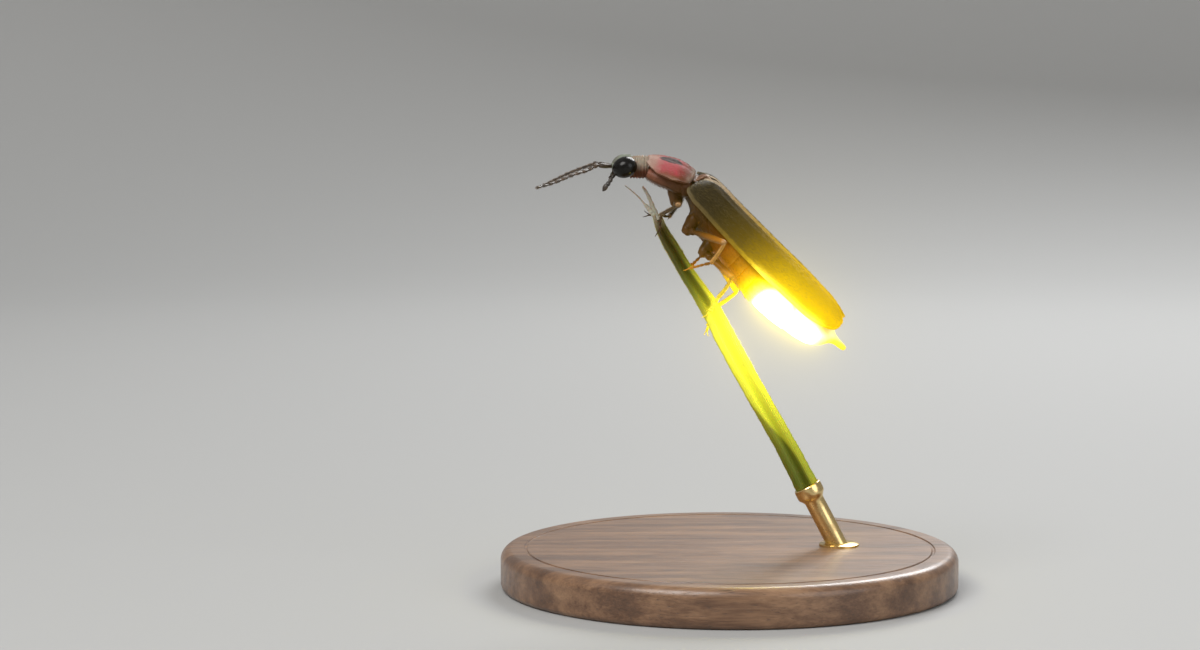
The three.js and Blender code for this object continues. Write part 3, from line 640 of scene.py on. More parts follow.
def make_elytra():
    finish = elytron_finish()
    # The hairs' golden colour towards the rear is painted lantern light.
    hairs = Coat("elytra", rear=(0.62, 0.42, 0.015))
    for name, side in SIDES.items():
        rows, marks, face = elytron_rows(side)
        case = Shape(HIND_BODY).grid(rows, marks)
        case.build(f"elytron_case_{name}", finish, "wing_case", (f"elytron_{name}",), crease=60)
        on_face = np.zeros(rows.shape[:2])
        on_face[:, 2:face - 2] = 1
        half = (0, 0, 1, 0.5) if side < 0 else (0, 0.5, 1, 1)
        hairs.cover(rows, HIND_BODY, half, on_face)
    hairs.grow("wing_case")


# Scutellum: the small triangular plate between the elytra's roots

SCUTELLUM = profile([
    # x, half width, top
    (-0.08, 0.6, -0.04), (0.05, 0.66, 0.04), (0.1, 0.64, 0.2), (0.16, 0.5, 0.32), (0.22, 0.35, 0.4),
    (0.3, 0.23, 0.45), (0.45, 0.15, 0.47), (0.6, 0.1, 0.46), (0.7, 0.06, 0.44), (0.78, 0.04, 0.39)])


def make_scutellum():
    x = np.linspace(-0.08, 0.77, 60)
    share = np.clip((x - 0.02) / 0.82, 0, 1)[:, None]
    half, top = SCUTELLUM(x).T
    rows = oval(x, half, top - SKIN_INSET, np.minimum(top - 0.15, -0.06), 40, keel=3)
    rows[..., 2] -= 0.03 * bump(rows[..., 1], 0, 0.07) * share * (1 - share) * 4
    finish = Finish("scutellum_plate", Roughness=0.5, Specular_IOR_Level=0.12)
    along, _, _ = finish.marks()
    brown = finish.noise(6).span(0.35, 0.65).blend((0.1, 0.045, 0.022), (0.22, 0.11, 0.065))
    finish.colour(along.span(0.3, 0.6, 0.0, 0.8).blend(brown, (0.5, 0.36, 0.25)))
    finish.relief(finish.cells(24), 0.01)
    plate = Shape(HIND_BODY).grid(rows, together(share, 0 * rows[..., 1], 0))
    plate.build("scutellum_plate", finish, "pronotum_shell", ("scutellum",))


# Pronotum: the shield behind the head, with a thin flared rim, pink fields and a dark middle

PRONOTUM_LENGTH, PRONOTUM_HALF = 2.6, 1.9
PRONOTUM_FRONT_ROUND, PRONOTUM_REAR_ROUND, PRONOTUM_SWEEP = 1.9, 1.05, 0.46
SPOT_COLUMNS = 7
PRONOTUM_RIDGE = profile([
    (-PRONOTUM_LENGTH, -0.16), (-2.2, 0), (-1.7, 0.13), (-1, 0.17), (-0.3, 0.04), (0, -0.04)])


def pronotum_height(x, share):
    ridge = PRONOTUM_RIDGE(x)[..., 0]
    off_middle = np.abs(share)
    furrow = 0.05 * bump(share, 0, 0.09) * smoothstep(-2.2, -1.2, x)
    groove = 0.05 * bump(off_middle, 0.77, 0.07)
    bosses = 0.035 * bump(off_middle, 0.33, 0.2) * bump(x, -0.75, 0.5)
    flare = 0.05 * smoothstep(0.82, 1.0, off_middle)
    drop = mix(0.5, 0.34, smoothstep(-1.3, -0.1, x))
    fall = drop * (1.15 * share ** 2 - 0.15 * share ** 6)
    return ridge - fall - furrow - groove + bosses + flare - SKIN_INSET


def make_pronotum():
    length = mix(steps(96), eased(96), 0.6)[:, None]
    x = mix(-PRONOTUM_LENGTH, 0, 0.004 + 0.996 * length)
    front = np.maximum(0, 1 - (x + PRONOTUM_LENGTH) / PRONOTUM_FRONT_ROUND)
    rear = np.maximum(0, 1 + x / PRONOTUM_REAR_ROUND)
    span = rounded(front, 0) * (1 - 0.3 * rear ** 2) * 0.995
    top = eased(84)[::-1][None] * 2 - 1
    low = np.linspace(-0.97, 0.97, 50)[None]
    end = np.maximum(0, np.maximum(1 - length / 0.05, 1 - (1 - length) / 0.04))
    face_height = pronotum_height(x, top * span) - 0.06 * end ** 2
    sheet = 0.07 + 0.2 * (1 - low ** 4) * (1 - front ** 3)
    under_height = pronotum_height(x, low * span) - sheet * (1 - 0.5 * end)
    across = np.concatenate([top, low], axis=1) * span
    rows = together(x, across * PRONOTUM_HALF, np.concatenate([face_height, under_height], axis=1))
    rows[..., 0] -= PRONOTUM_SWEEP * across ** 2 * smoothstep(-1.4, 0, x)
    beneath = np.arange(across.shape[1]) >= top.size
    shield = Shape(PROTHORAX).grid(rows, together(length, across, beneath))
    shield.build("pronotum_shield", pronotum_finish(), "pronotum_shell", ("pronotum",), crease=60)
    weight = np.zeros(across.shape)
    middle = top.size // 2
    weight[:, 2:top.size - 2] = 1
    weight[:, middle - SPOT_COLUMNS:middle + SPOT_COLUMNS] = 0.25
    hairs = Coat("pronotum")
    hairs.cover(rows, PROTHORAX, weight=weight)
    hairs.grow("pronotum_shell")


# The dark red first stop is a painted shadow line where the shield's front edge meets the neck; the pale last
# stop is partly the rear margin's own colour and partly a painted highlight.
SHIELD_MIDDLE = [
    (0.0, 0.2, 0.09, 0.06), (0.04, 0.36, 0.26, 0.21), (0.2, 0.34, 0.19, 0.155), (0.34, 0.36, 0.075, 0.085),
    (0.62, 0.34, 0.05, 0.06), (0.78, 0.19, 0.032, 0.025), (0.88, 0.13, 0.045, 0.03), (0.96, 0.19, 0.14, 0.1)]
SHIELD_MARGIN = [
    (0.0, 0.18, 0.06, 0.04), (0.08, 0.22, 0.1, 0.07), (0.3, 0.17, 0.07, 0.04), (0.65, 0.16, 0.065, 0.035),
    (0.9, 0.1, 0.04, 0.02)]


def pronotum_finish():
    """The marks are the place along the shield, the place across it and 1 on its underside."""
    finish = Finish("pronotum_shield", Roughness=0.55, Specular_IOR_Level=0.05)
    along, across, beneath = finish.marks()
    wander = (finish.noise(3.5, detail=4) - 0.5) * 0.2
    side = abs(across) + wander
    sided = side.span(0.6, 0.84).blend((along + wander).ramp(SHIELD_MIDDLE), along.ramp(SHIELD_MARGIN))
    rimmed = side.span(0.9, 0.96, 0.0, 0.45).blend(sided, (0.28, 0.17, 0.1))
    lengthwise, crosswise = (along - 0.48) * 4.3, side * 4.2
    spot = (lengthwise * lengthwise + crosswise * crosswise).span(1.3, 0.7)
    spotted = spot.blend(rimmed, (0.02, 0.006, 0.006))
    finish.colour((beneath * 0.6).blend(spotted, (0.2, 0.08, 0.045)))
    finish.relief(finish.cells(12, feature="SMOOTH_F1") + finish.noise(28), 0.015, 0.7)
    return finish


# Prothorax: the flesh-coloured underside of the first body length

PROTHORAX_SHAPE = profile([
    # x, half width, top, bottom
    (-2.32, 0.86, -0.42, -1.18), (-1.8, 1.1, -0.28, -1.27), (-1.1, 1.23, -0.22, -1.32),
    (-0.5, 1.21, -0.25, -1.42), (-0.14, 1.13, -0.35, -1.42), (0.1, 0.9, -0.5, -1.34)])
PROTHORAX_FRONT, PROTHORAX_SPAN = -2.32, 2.4
PROTHORAX_WIDEST = 0.42
PROTHORAX_SIDES = 84


def make_prothorax():
    x = np.linspace(-2.31, 0.08, 90)
    half, top, bottom = PROTHORAX_SHAPE(x).T
    rows = oval(x, half, top, bottom, PROTHORAX_SIDES, widest=PROTHORAX_WIDEST, keel=1.5, roof=0.6)
    sine, cosine = side_waves(PROTHORAX_SIDES)
    station = x[:, None]
    seams = 0.04 * bump(station, -0.42 - 0.3 * sine, 0.05) + 0.035 * bump(cosine, 0, 0.08) * (sine < 0)
    wrinkles = 0.02 * (1 + np.sin(station * 30)) * smoothstep(-1.9, -2.3, station)
    dent = seams + wrinkles + 0.04 * bump(sine, -0.1, 0.07)
    rows = dented(rows, mix(bottom, top, PROTHORAX_WIDEST), dent)
    finish = Finish("prothorax_skin", Roughness=0.42, Specular_IOR_Level=0.25, Coat_Weight=0.06,
                    Coat_Roughness=0.3)
    along, height, _ = finish.marks()
    rearward = along.span(0.15, 0.7)
    low = rearward.blend((0.12, 0.04, 0.016), (0.09, 0.034, 0.006))
    patchy = finish.noise(4, detail=4).span(0.4, 0.7, 0.0, 0.5).blend(low, (0.05, 0.018, 0.007))
    upper = rearward.blend((0.22, 0.08, 0.05), (0.16, 0.055, 0.02))
    finish.colour(height.span(0.35, 0.7).blend(patchy, upper))
    finish.relief(finish.cells(16) + finish.noise(30), 0.014, 0.7)
    marks = together((station - PROTHORAX_FRONT) / PROTHORAX_SPAN, 0.5 + sine / 2, 0)
    skin = Shape(PROTHORAX).grid(rows, marks)
    skin.build("prothorax_skin", finish, "pronotum_shell", ("prothorax",))
    hairs = Coat("prothorax")
    hairs.cover(rows, PROTHORAX, weight=sine < 0.3)
    hairs.grow("pronotum_shell")


# Neck: a pale sleeve of skin, gathered in wrinkles

NECK_SIDES = 64


def make_neck():
    x = np.linspace(0.3, 1.2, 70)
    swell = mix(0.37, 0.5, smoothstep(0.3, 1.1, x))
    wrinkle = 0.022 * np.sin(x * 42) + 0.01 * np.sin(x * 97 + 1)
    rows = oval(x, swell + wrinkle, 0.55 + wrinkle, -0.56 - wrinkle, NECK_SIDES)
    turn = round_turn(NECK_SIDES)
    rows[..., 2] += 0.012 * np.sin(turn * 9 + x[:, None] * 8)
    finish = Finish("neck_skin", Roughness=0.6, Specular_IOR_Level=0.15, Subsurface_Weight=0.2,
                    Subsurface_Scale=0.2 * MM)
    _, height, _ = finish.marks()
    pale = finish.noise(6, detail=5).span(0.3, 0.7).blend((0.24, 0.19, 0.145), (0.34, 0.285, 0.22))
    # The darker reddish lower half is painted shade.
    finish.colour(height.span(0.7, 0.25).blend(pale, (0.11, 0.034, 0.02)))
    finish.relief(finish.noise(18, detail=4), 0.02)
    sleeve = Shape(HEAD).grid(rows, together(x[:, None], 0.5 + np.sin(turn) / 2, 0))
    sleeve.build("neck_skin", finish, "membrane", ("neck",))


# Head: a narrow capsule between the eyes, with sockets, upper lip and jaws

HEAD_TOP, HEAD_CHIN, HEAD_HALF = 0.64, -0.49, 0.35
HEAD_SIDES = 72
LIP_PATH = [(-0.3, 0, -0.26), (-0.5, 0, -0.33), (-0.68, 0, -0.42)]
SOCKET_PATH = [(-0.44, 0.19, 0.03), (-0.56, 0.22, 0.05), (-0.63, 0.24, 0.05), (-0.64, 0.245, 0.05)]
JAW_PATH = [(-0.46, 0.16, -0.36), (-0.66, 0.17, -0.46), (-0.78, 0.03, -0.55)]


def on_side(places, side):
    """Places given for the right side, moved to either side."""
    return np.array(places) * (1, side, 1)


def head_finish():
    """The marks are 1 on the face's front, and the height."""
    finish = Finish("head_capsule", Roughness=0.5, Specular_IOR_Level=0.12)
    front, height, _ = finish.marks()
    dark = finish.noise(6).span(0.35, 0.7).blend((0.025, 0.016, 0.012), (0.09, 0.055, 0.04))
    # The grey patch on the top of the head between the eyes is a painted highlight.
    crown_highlight = height.span(0.68, 0.84) * front.span(1.0, 0.0, 0.6, 1.0)
    finish.colour(crown_highlight.blend(dark, (0.2, 0.22, 0.18)))
    finish.relief(finish.cells(26), 0.01)
    return finish


def make_head():
    x = np.linspace(-0.6, 0.34, 60)
    full = rounded((-x - 0.05) / 0.6, 0.03)
    half, chin = HEAD_HALF * mix(0.7, 1, full), HEAD_CHIN * mix(0.55, 1, full)
    rows = oval(x, half, HEAD_TOP * full, chin, HEAD_SIDES)
    turn = round_turn(HEAD_SIDES)
    face = smoothstep(-0.1, -0.45, x)[:, None]
    hollow = 0.05 * bump(turn, math.pi / 2, 0.45) * face + 0.02 * bump(turn, math.pi / 2, 0.08)
    rows[..., 1:] *= (1 - hollow - 0.02)[..., None]
    shape = Shape(HEAD)
    shape.grid(rows, together(face, 0.5 + np.sin(turn) / 2, 0))
    lip_radii = np.linspace(0.21, 0.09, 16) * (1 - 0.5 * steps(16) ** 6)
    shape.grid(tube(curve(LIP_PATH, 16), lip_radii, sides=24, flat=0.5), (0, 0.76, 0))
    for side in SIDES.values():
        shape.grid(tube(on_side(SOCKET_PATH, side), (0.16, 0.15, 0.13, 0.06), sides=24), (0, 1, 0))
        jaw = curve(on_side(JAW_PATH, side), 18)
        shape.grid(tube(jaw, 0.06 * (1 - 0.8 * steps(18) ** 1.5), sides=10, flat=0.7))
    shape.build("head_capsule", head_finish(), "cuticle", ("head",))


# Eyes: domes of close-set lenses

EYE_RADIUS, EYE_HEIGHT, EYE_BULGE, EYE_SEAT = 0.615, 0.525, 0.675, 0.52
EYE_FORWARD = 0.03
EYE_TILT = math.radians(20)
LENS_DEPTH = 0.006


def make_eyes():
    finish = Finish("eye_lens", Roughness=0.24, Coat_Weight=0.05, Coat_Roughness=0.1, Specular_IOR_Level=0.2)
    finish.colour(finish.noise(2.5).span(0.3, 0.7).blend((0.002, 0.002, 0.003), (0.007, 0.007, 0.009)))
    work = bmesh.new()
    bmesh.ops.create_icosphere(work, subdivisions=6, radius=1)
    bmesh.ops.poke(work, faces=work.faces[:], offset=-LENS_DEPTH)
    work.verts.ensure_lookup_table()
    ball = np.array([vertex.co for vertex in work.verts])
    faces = [[vertex.index for vertex in face.verts] for face in work.faces]
    work.free()
    reach = np.linalg.norm(ball, axis=-1)
    ball /= reach[:, None]
    outer = ball[:, 1] > 0
    facet = np.where(outer, reach, 1)
    deep = np.where(outer, EYE_BULGE * np.clip(ball[:, 1], 0, 1) ** 0.95, 0.03 * ball[:, 1])
    out = EYE_RADIUS * np.sqrt(np.maximum(1 - ball[:, 1] ** 2, 0)) ** 0.85 * facet
    long_way, high = (unit(ball[:, (0, 2)]) * out[:, None] * (1, EYE_HEIGHT / EYE_RADIUS)).T
    cosine, sine = math.cos(EYE_TILT), math.sin(EYE_TILT)
    for name, side in SIDES.items():
        points = np.column_stack([
            EYE_FORWARD + long_way * cosine - high * sine, side * (EYE_SEAT + deep * facet),
            long_way * sine + high * cosine])
        shape = Shape(HEAD)
        shape.add(points, faces)
        shape.build(f"eye_lenses_{name}", finish, "eye", (f"eye_{name}",), crease=80)


# Antennae: eleven flattened joints, each swelling towards its end

ANTENNA_PATHS = {
    "left": [(-0.6, -0.22, 0.05), (-0.86, -0.34, 0.05), (-1.35, -0.72, 0.1), (-1.8, -1.25, -0.1),
             (-2.45, -2, -0.26), (-3.4, -3, -0.6), (-4.3, -4.1, -0.8)],
    "right": [(-0.6, 0.22, 0.05), (-0.86, 0.34, 0.05), (-1.35, 0.75, 0.12), (-1.85, 1.35, -0.06),
              (-2.55, 2.2, -0.36), (-3.4, 3.2, -0.8), (-4.1, 4.2, -1.2)],
}
ANTENNA_SHARES = (0.15, 0.06, 0.08) + (0.09,) * 6 + (0.085, 0.085)
ANTENNA_ROOT, ANTENNA_TIP = 0.125, 0.08
ANTENNA_POINTS = 400


def joint_radii(t, base, belly, end):
    """A joint's half-widths: slim at its root, full near its end and rounded off."""
    swell = mix(base, belly, np.sin(np.minimum(t / 0.72, 1) * math.pi / 2) ** 1.2)
    return mix(swell, end, smoothstep(0.75, 1, t)) * rounded((t - 0.82) / 0.18)


def make_antennae():
    finish = cuticle_finish("antenna_cuticle", (0.018, 0.012, 0.009), (0.075, 0.045, 0.026), 0.42)
    hairs = Coat("antenna")
    ends = np.concatenate([[0], np.cumsum(ANTENNA_SHARES)]) / sum(ANTENNA_SHARES)
    joints = len(ANTENNA_SHARES)
    for place, (name, path) in enumerate(ANTENNA_PATHS.items()):
        shape = Shape(HEAD)
        whole = curve(path, ANTENNA_POINTS)
        for joint, (start, end) in enumerate(zip(ends[:-1], ends[1:])):
            spots = mix(start - 0.004, end + 0.002, steps(16)) * (ANTENNA_POINTS - 1)
            points = np.column_stack([np.interp(spots, np.arange(ANTENNA_POINTS), axis) for axis in whole.T])
            size = mix(ANTENNA_ROOT, ANTENNA_TIP, start)
            radii = joint_radii(steps(16), size * (0.7 if joint == 0 else 0.5), size, size * 0.75)
            rows = tube(points, radii, sides=18, flat=1.0 if joint < 2 else 0.72)
            shape.grid(rows)
            window = (joint / joints, place / 2, (joint + 1) / joints, (place + 1) / 2)
            hairs.cover(rows, HEAD, window, density=1.0 if joint > 1 else 0.4)
        shape.build(f"antenna_joints_{name}", finish, "cuticle", (f"antenna_{name}",))
    hairs.grow("cuticle")


# Palps: four joints each, the last one broad and flat like a hatchet, and a small inner palp beside them

PALP_PATH = [(-0.44, 0.26, -0.36), (-0.62, 0.36, -0.56), (-0.74, 0.43, -0.78), (-0.88, 0.46, -0.95),
             (-1.07, 0.42, -1.2)]
PALP_JOINTS = ((0, 0.24, 0.085), (0.23, 0.46, 0.1), (0.45, 0.66, 0.1), (0.65, 1, 0.115))
PALP_POINTS = 200
INNER_PALP_PATH = [(-0.5, 0.1, -0.42), (-0.62, 0.14, -0.6), (-0.74, 0.16, -0.74)]


def make_palps():
    finish = cuticle_finish("palp_cuticle", (0.014, 0.011, 0.009), (0.05, 0.035, 0.025), 0.4)
    for name, side in SIDES.items():
        path = curve(on_side(PALP_PATH, side), PALP_POINTS)
        shape = Shape(HEAD)
        for start, end, size in PALP_JOINTS:
            t = steps(18)
            radii = joint_radii(t, size * 0.55, size, size * 0.8)
            if end == 1:
                radii = size * np.sin(np.clip(0.18 + t * 0.8, 0, 1) * math.pi) ** 0.7
            part = path[(mix(start, end, t) * (PALP_POINTS - 1)).astype(int)]
            shape.grid(tube(part, radii, sides=20, flat=0.75))
        small = curve(on_side(INNER_PALP_PATH, side), 24)
        shape.grid(tube(small, joint_radii(steps(24), 0.035, 0.06, 0.04), sides=14))
        shape.build(f"palp_joints_{name}", finish, "cuticle", (f"palp_{name}",))


# Legs: coxa, trochanter, femur, tibia with two spurs, five tarsal joints and two claws

LEGS = {
    # knee, ankle, toe
    "front_left": ((-2.65, -1.85, 19.4), (-3.45, -0.25, 18.8), (-3.56, -0.12, 17.95)),
    "front_right": ((-2.4, 2.5, 19.35), (-3.02, 1.25, 18.6), (-4.05, 1.05, 18.7)),
    "mid_left": ((-0.38, -2.75, 17.6), (-1.0, -1.45, 16.5), (-2.05, -0.13, 16.1)),
    "mid_right": ((-0.18, 2.55, 18.28), (-1.2, 1.9, 16.75), (-2.1, 1.1, 15.95)),
    "hind_left": ((0.06, -1.65, 15.8), (-0.58, -0.3, 14.7), (-1.13, -0.13, 13.75)),
    "hind_right": ((0.42, 1.9, 14.75), (-0.85, 1.2, 13.95), (-1.12, 1.1, 12.85)),
}
COXAE = {
    # body length, root, end
    "front": (PROTHORAX, (-0.75, 0.35, -1.1), (-0.42, 0.46, -1.7)),
    "mid": (HIND_BODY, (1.3, 0.4, -1.5), (1.45, 0.74, -2.12)),
    "hind": (HIND_BODY, (2.7, 0.35, -1.7), (2.8, 0.84, -2.34)),
}
COXA_RADII = (0.34, 0.36, 0.37, 0.37, 0.36, 0.35, 0.34, 0.33, 0.33, 0.32, 0.32, 0.31, 0.29, 0.24, 0.16, 0.05)
COXA_CAP = np.array([[0.08], [0.16], [0.22], [0.25]])
TROCHANTER = 0.34
TARSAL_ENDS = (0, 0.3, 0.5, 0.65, 0.78, 1)
LOBED_JOINT = 3
LIMB_POINTS = 30
LIT_LOW, LIT_HIGH = 14.5, 17.1
# One leg's tibia and femur are painted pale orange as an edge lit by the lantern; the lower stops are the
# coxae's and femora's own orange-brown.
LANTERN_LIT_LEG = "mid_left"
TINTS_AND_LIT_EDGE = [(0.0, 0, 0, 0), (0.5, 0.12, 0.046, 0.007), (0.7, 0.36, 0.13, 0.008), (0.9, 0.66, 0.33, 0.08)]


def leg_finish():
    """The marks are 1 at a limb's ends and 0 between, how much painted lantern light falls on it, and how
    orange-brown it is, which on one leg runs on into a painted lit edge.
    """
    finish = Finish("leg_cuticle", Roughness=0.4, Specular_IOR_Level=0.25, Coat_Weight=0.05,
                    Coat_Roughness=0.3)
    joint, lit, tint_and_lit_edge = finish.marks()
    shaft = finish.noise(4).span(0.3, 0.7).blend((0.034, 0.016, 0.006), (0.08, 0.037, 0.013))
    # The leg's colour, with the painted lit edge on the lantern-lit leg.
    own = tint_and_lit_edge.span(0.0, 0.4).blend(shaft, tint_and_lit_edge.ramp(TINTS_AND_LIT_EDGE))
    jointed = joint.span(0.35, 1.0, 0.0, 0.8).blend(own, (0.42, 0.24, 0.11))
    # Painted lantern light: legs turn golden and glow the lower they reach towards the lantern.
    painted_lantern_light = lit.ramp([(0.0, 0.5, 0.16, 0.02), (0.35, 0.72, 0.32, 0.03), (0.7, 0.85, 0.66, 0.05)])
    finish.colour(lit.span(0.0, 0.4).blend(jointed, painted_lantern_light))
    finish.glow(lit.ramp([(0.2, 1.0, 0.3, 0.0), (0.7, 1.0, 0.8, 0.02)]), lit * 0.4)
    finish.relief(finish.noise(30), 0.008, 0.6)
    return finish


def leg_grid(shape, path, radii, sides=16, flat=1.0, joint=1.0, tint_and_lit_edge=(0.0, 0.0)):
    rows = tube(path, radii, sides, flat)
    t = steps(len(path))[:, None]
    pale = joint * np.maximum(bump(t, 0, 0.1), bump(t, 1, 0.08))
    # How much painted lantern light a limb takes, growing as it reaches down towards the lantern.
    lit = smoothstep(LIT_HIGH, LIT_LOW, rows[..., 2]) * 0.8
    shape.grid(rows, together(pale, lit, mix(*tint_and_lit_edge, t)))
    return rows


def make_leg(name, knee, ankle, toe, finish, hairs, order):
    pair, side_name = name.split("_")
    place, root, end = COXAE[pair]
    root, end = moved(on_side((root, end), SIDES[side_name]), place)
    knee, ankle, toe = (np.array(spot) for spot in (knee, ankle, toe))
    outward, forward, shin = unit(knee - end), unit(toe - ankle), unit(ankle - knee)
    hip = end + outward * TROCHANTER
    lantern_lit = name == LANTERN_LIT_LEG
    shape = Shape()
    coxa = np.concatenate([line(root, end, 12), end + outward * COXA_CAP])
    leg_grid(shape, coxa, COXA_RADII, sides=28, joint=0.0, tint_and_lit_edge=(0.5, 0.5))
    leg_grid(shape, line(end + outward * 0.1, hip + outward * 0.24, 14),
             joint_radii(steps(14), 0.12, 0.19, 0.16), sides=22, joint=0.3, tint_and_lit_edge=(0.4, 0.4))
    t = steps(LIMB_POINTS)
    thigh = (mix(0.11, 0.15, t) + 0.075 * np.sin(t * math.pi) ** 0.9) * rounded((t - 0.93) / 0.07)
    femur = leg_grid(shape, line(hip, knee + outward * 0.06, LIMB_POINTS), thigh, sides=24, flat=0.8,
                     tint_and_lit_edge=(0.4, 0.75) if lantern_lit else (0.3, 0.3))
    shank = mix(0.085, 0.118, t) * rounded((0.04 - t) / 0.04, 0.04) * rounded((t - 0.96) / 0.04, 0.04)
    bowed = line(knee - shin * 0.02, ankle + shin * 0.05, LIMB_POINTS, outward * 0.05)
    tibia = leg_grid(shape, bowed, shank, sides=18, flat=0.85, tint_and_lit_edge=(1.0, 1.0) if lantern_lit else (0.0, 0.0))
    across = unit(np.cross(shin, forward + (0.01, 0.02, 0.03)))
    for turn in (-1, 1):
        spur = line(ankle - shin * 0.02 + across * turn * 0.06, ankle + shin * 0.2 + across * turn * 0.12, 8)
        leg_grid(shape, spur, np.linspace(0.028, 0.006, 8), sides=8, joint=0)
    for number, (start, stop) in enumerate(zip(TARSAL_ENDS[:-1], TARSAL_ENDS[1:])):
        lobed = number == LOBED_JOINT
        width = 0.12 if lobed else mix(0.098, 0.075, start)
        path = line(mix(ankle, toe, start) - forward * 0.02, mix(ankle, toe, stop) + forward * 0.02, 12)
        radii = joint_radii(steps(12), 0.04, width, width * 0.8)
        leg_grid(shape, path, radii, flat=0.6 if lobed else 0.8, joint=0.4)
    for turn in (-1, 1):
        hook = curve([toe - forward * 0.05, toe + forward * 0.16 + across * turn * 0.13,
                      toe + forward * 0.27 + across * turn * 0.19 - shin * 0.03,
                      toe + forward * 0.3 + across * turn * 0.2 - shin * 0.12], 16)
        leg_grid(shape, hook, 0.036 * (1 - 0.88 * steps(16) ** 1.4), sides=8, joint=0)
    parts = [f"leg_{name}_{part}" for part in ("femur", "tibia", "tarsus")]
    shape.build(f"leg_whole_{name}", finish, "cuticle", parts)
    for half, rows in enumerate((femur, tibia)):
        window = (order / len(LEGS), half / 2, (order + 1) / len(LEGS), (half + 1) / 2)
        hairs.cover(rows, WORLD, window)


def make_legs():
    finish = leg_finish()
    hairs = Coat("leg")
    for order, (name, places) in enumerate(LEGS.items()):
        make_leg(name, *places, finish, hairs, order)
    hairs.grow("cuticle")


# Grass: a blade folded along its keel, ribbed, with hairy edges and a torn, fibrous tip

BLADE_LINE = [
    # x, z, width
    (-3.68, 18.75, 0.42), (-3.4, 18, 0.6), (-2.75, 16.85, 0.74), (-2.1, 15.75, 0.78), (-1.5, 14.85, 0.9),
    (-0.9, 13.9, 1.0), (-0.18, 12.5, 1.06), (1.48, 9.5, 1.08), (2.9, 7, 1.1), (3.82, 5.24, 1.2)]
BLADE_IN_CUP = 0.4
BLADE_DEPTH = 0.5
BLADE_TOP = 20
BLADE_COLUMNS = 64
FIBRES = [
    # places as (x, z), thickness at the root and at the tip
    ([(-3.6, 18.5), (-3.85, 19.1), (-4.15, 19.8), (-4.38, 20.15)], 0.15, 0.06),
    ([(-3.65, 18.6), (-4, 18.95), (-4.25, 19.28)], 0.15, 0.09),
    ([(-4.1, 19.05), (-4.55, 19.6), (-5, 20), (-5.26, 20.2)], 0.05, 0.025),
]
SHREDS = 9
SHRED_ROOTS = [(-3.2, 17.7), (-3.68, 18.75)]
TORN_MARK = (0.95, 0.5, 1.0)


def in_blade(places):
    """Places given as (x, z), on the blade's middle plane."""
    return np.array([(x, BLADE_DEPTH, z) for x, z in places])


def blade_rows():
    places = in_blade([place[:2] for place in BLADE_LINE])
    sunk = places[-1] + unit(places[-1] - places[-2]) * BLADE_IN_CUP
    path = curve([*places, sunk], 260)
    z = path[:, 2]
    widths = profile([(-z, width) for _, z, width in BLADE_LINE])(-z)[:, 0]
    half = widths / 2 * 0.985 * (1 + 0.015 * np.sin(z * 4.1) + 0.01 * np.sin(z * 11))
    along = unit(np.gradient(path, axis=0))
    across = np.column_stack([-along[:, 2], 0 * z, along[:, 0]])[:, None]
    share = eased(BLADE_COLUMNS) * 2 - 1
    slim = np.minimum(1, half * 2 / 0.6)[:, None]
    ribs = 0.011 * np.cos(share * TURN * 5.5) * np.minimum(1, (1 - np.abs(share)) / 0.1)
    fold = slim * (0.1 * bump(share, 0, 0.28) - 0.19 * (1 - (2 * np.abs(share) - 1) ** 2))
    front = fold + ribs
    back = fold + 0.05 + 0.05 * (1 - share ** 2) + 0.15 * bump(share, 0, 0.13) * slim - ribs
    depth = np.concatenate([front, back[:, ::-1]], axis=1)
    share = np.concatenate([share, share[::-1]])
    rows = path[:, None] + across * (share * half[:, None])[..., None] + depth[..., None] * (0, 1, 0)
    return rows, together(z[:, None] / BLADE_TOP, share / 2 + 0.5, 0)


# The blade's colours up its height come in a painted shaded copy and a painted lit copy, golden near the
# lantern's height as painted lantern light; LEAF_TORN is the torn tip's own pale colour.
LEAF_TORN = [(0.9, 0.065, 0.05, 0.012), (0.94, 0.42, 0.34, 0.24)]
LEAF_SHADED = [
    (0.2, 0.05, 0.075, 0.008), (0.35, 0.1, 0.13, 0.01), (0.45, 0.24, 0.25, 0.012), (0.6, 0.48, 0.5, 0.02),
    (0.68, 0.5, 0.5, 0.03), (0.74, 0.14, 0.17, 0.012), (0.8, 0.05, 0.062, 0.008), *LEAF_TORN]
LEAF_LIT = [
    (0.2, 0.22, 0.27, 0.02), (0.35, 0.36, 0.4, 0.02), (0.5, 0.58, 0.6, 0.02), (0.7, 0.58, 0.58, 0.02),
    (0.76, 0.42, 0.46, 0.03), (0.82, 0.16, 0.2, 0.02), *LEAF_TORN]
LEAF_LANTERN_LIGHT = [(0.25, 0.02), (0.35, 0.08), (0.45, 0.22), (0.55, 0.42), (0.64, 0.6), (0.68, 0.5), (0.72, 0.3),
             (0.76, 0.14), (0.82, 0.0)]
VEINS = 14


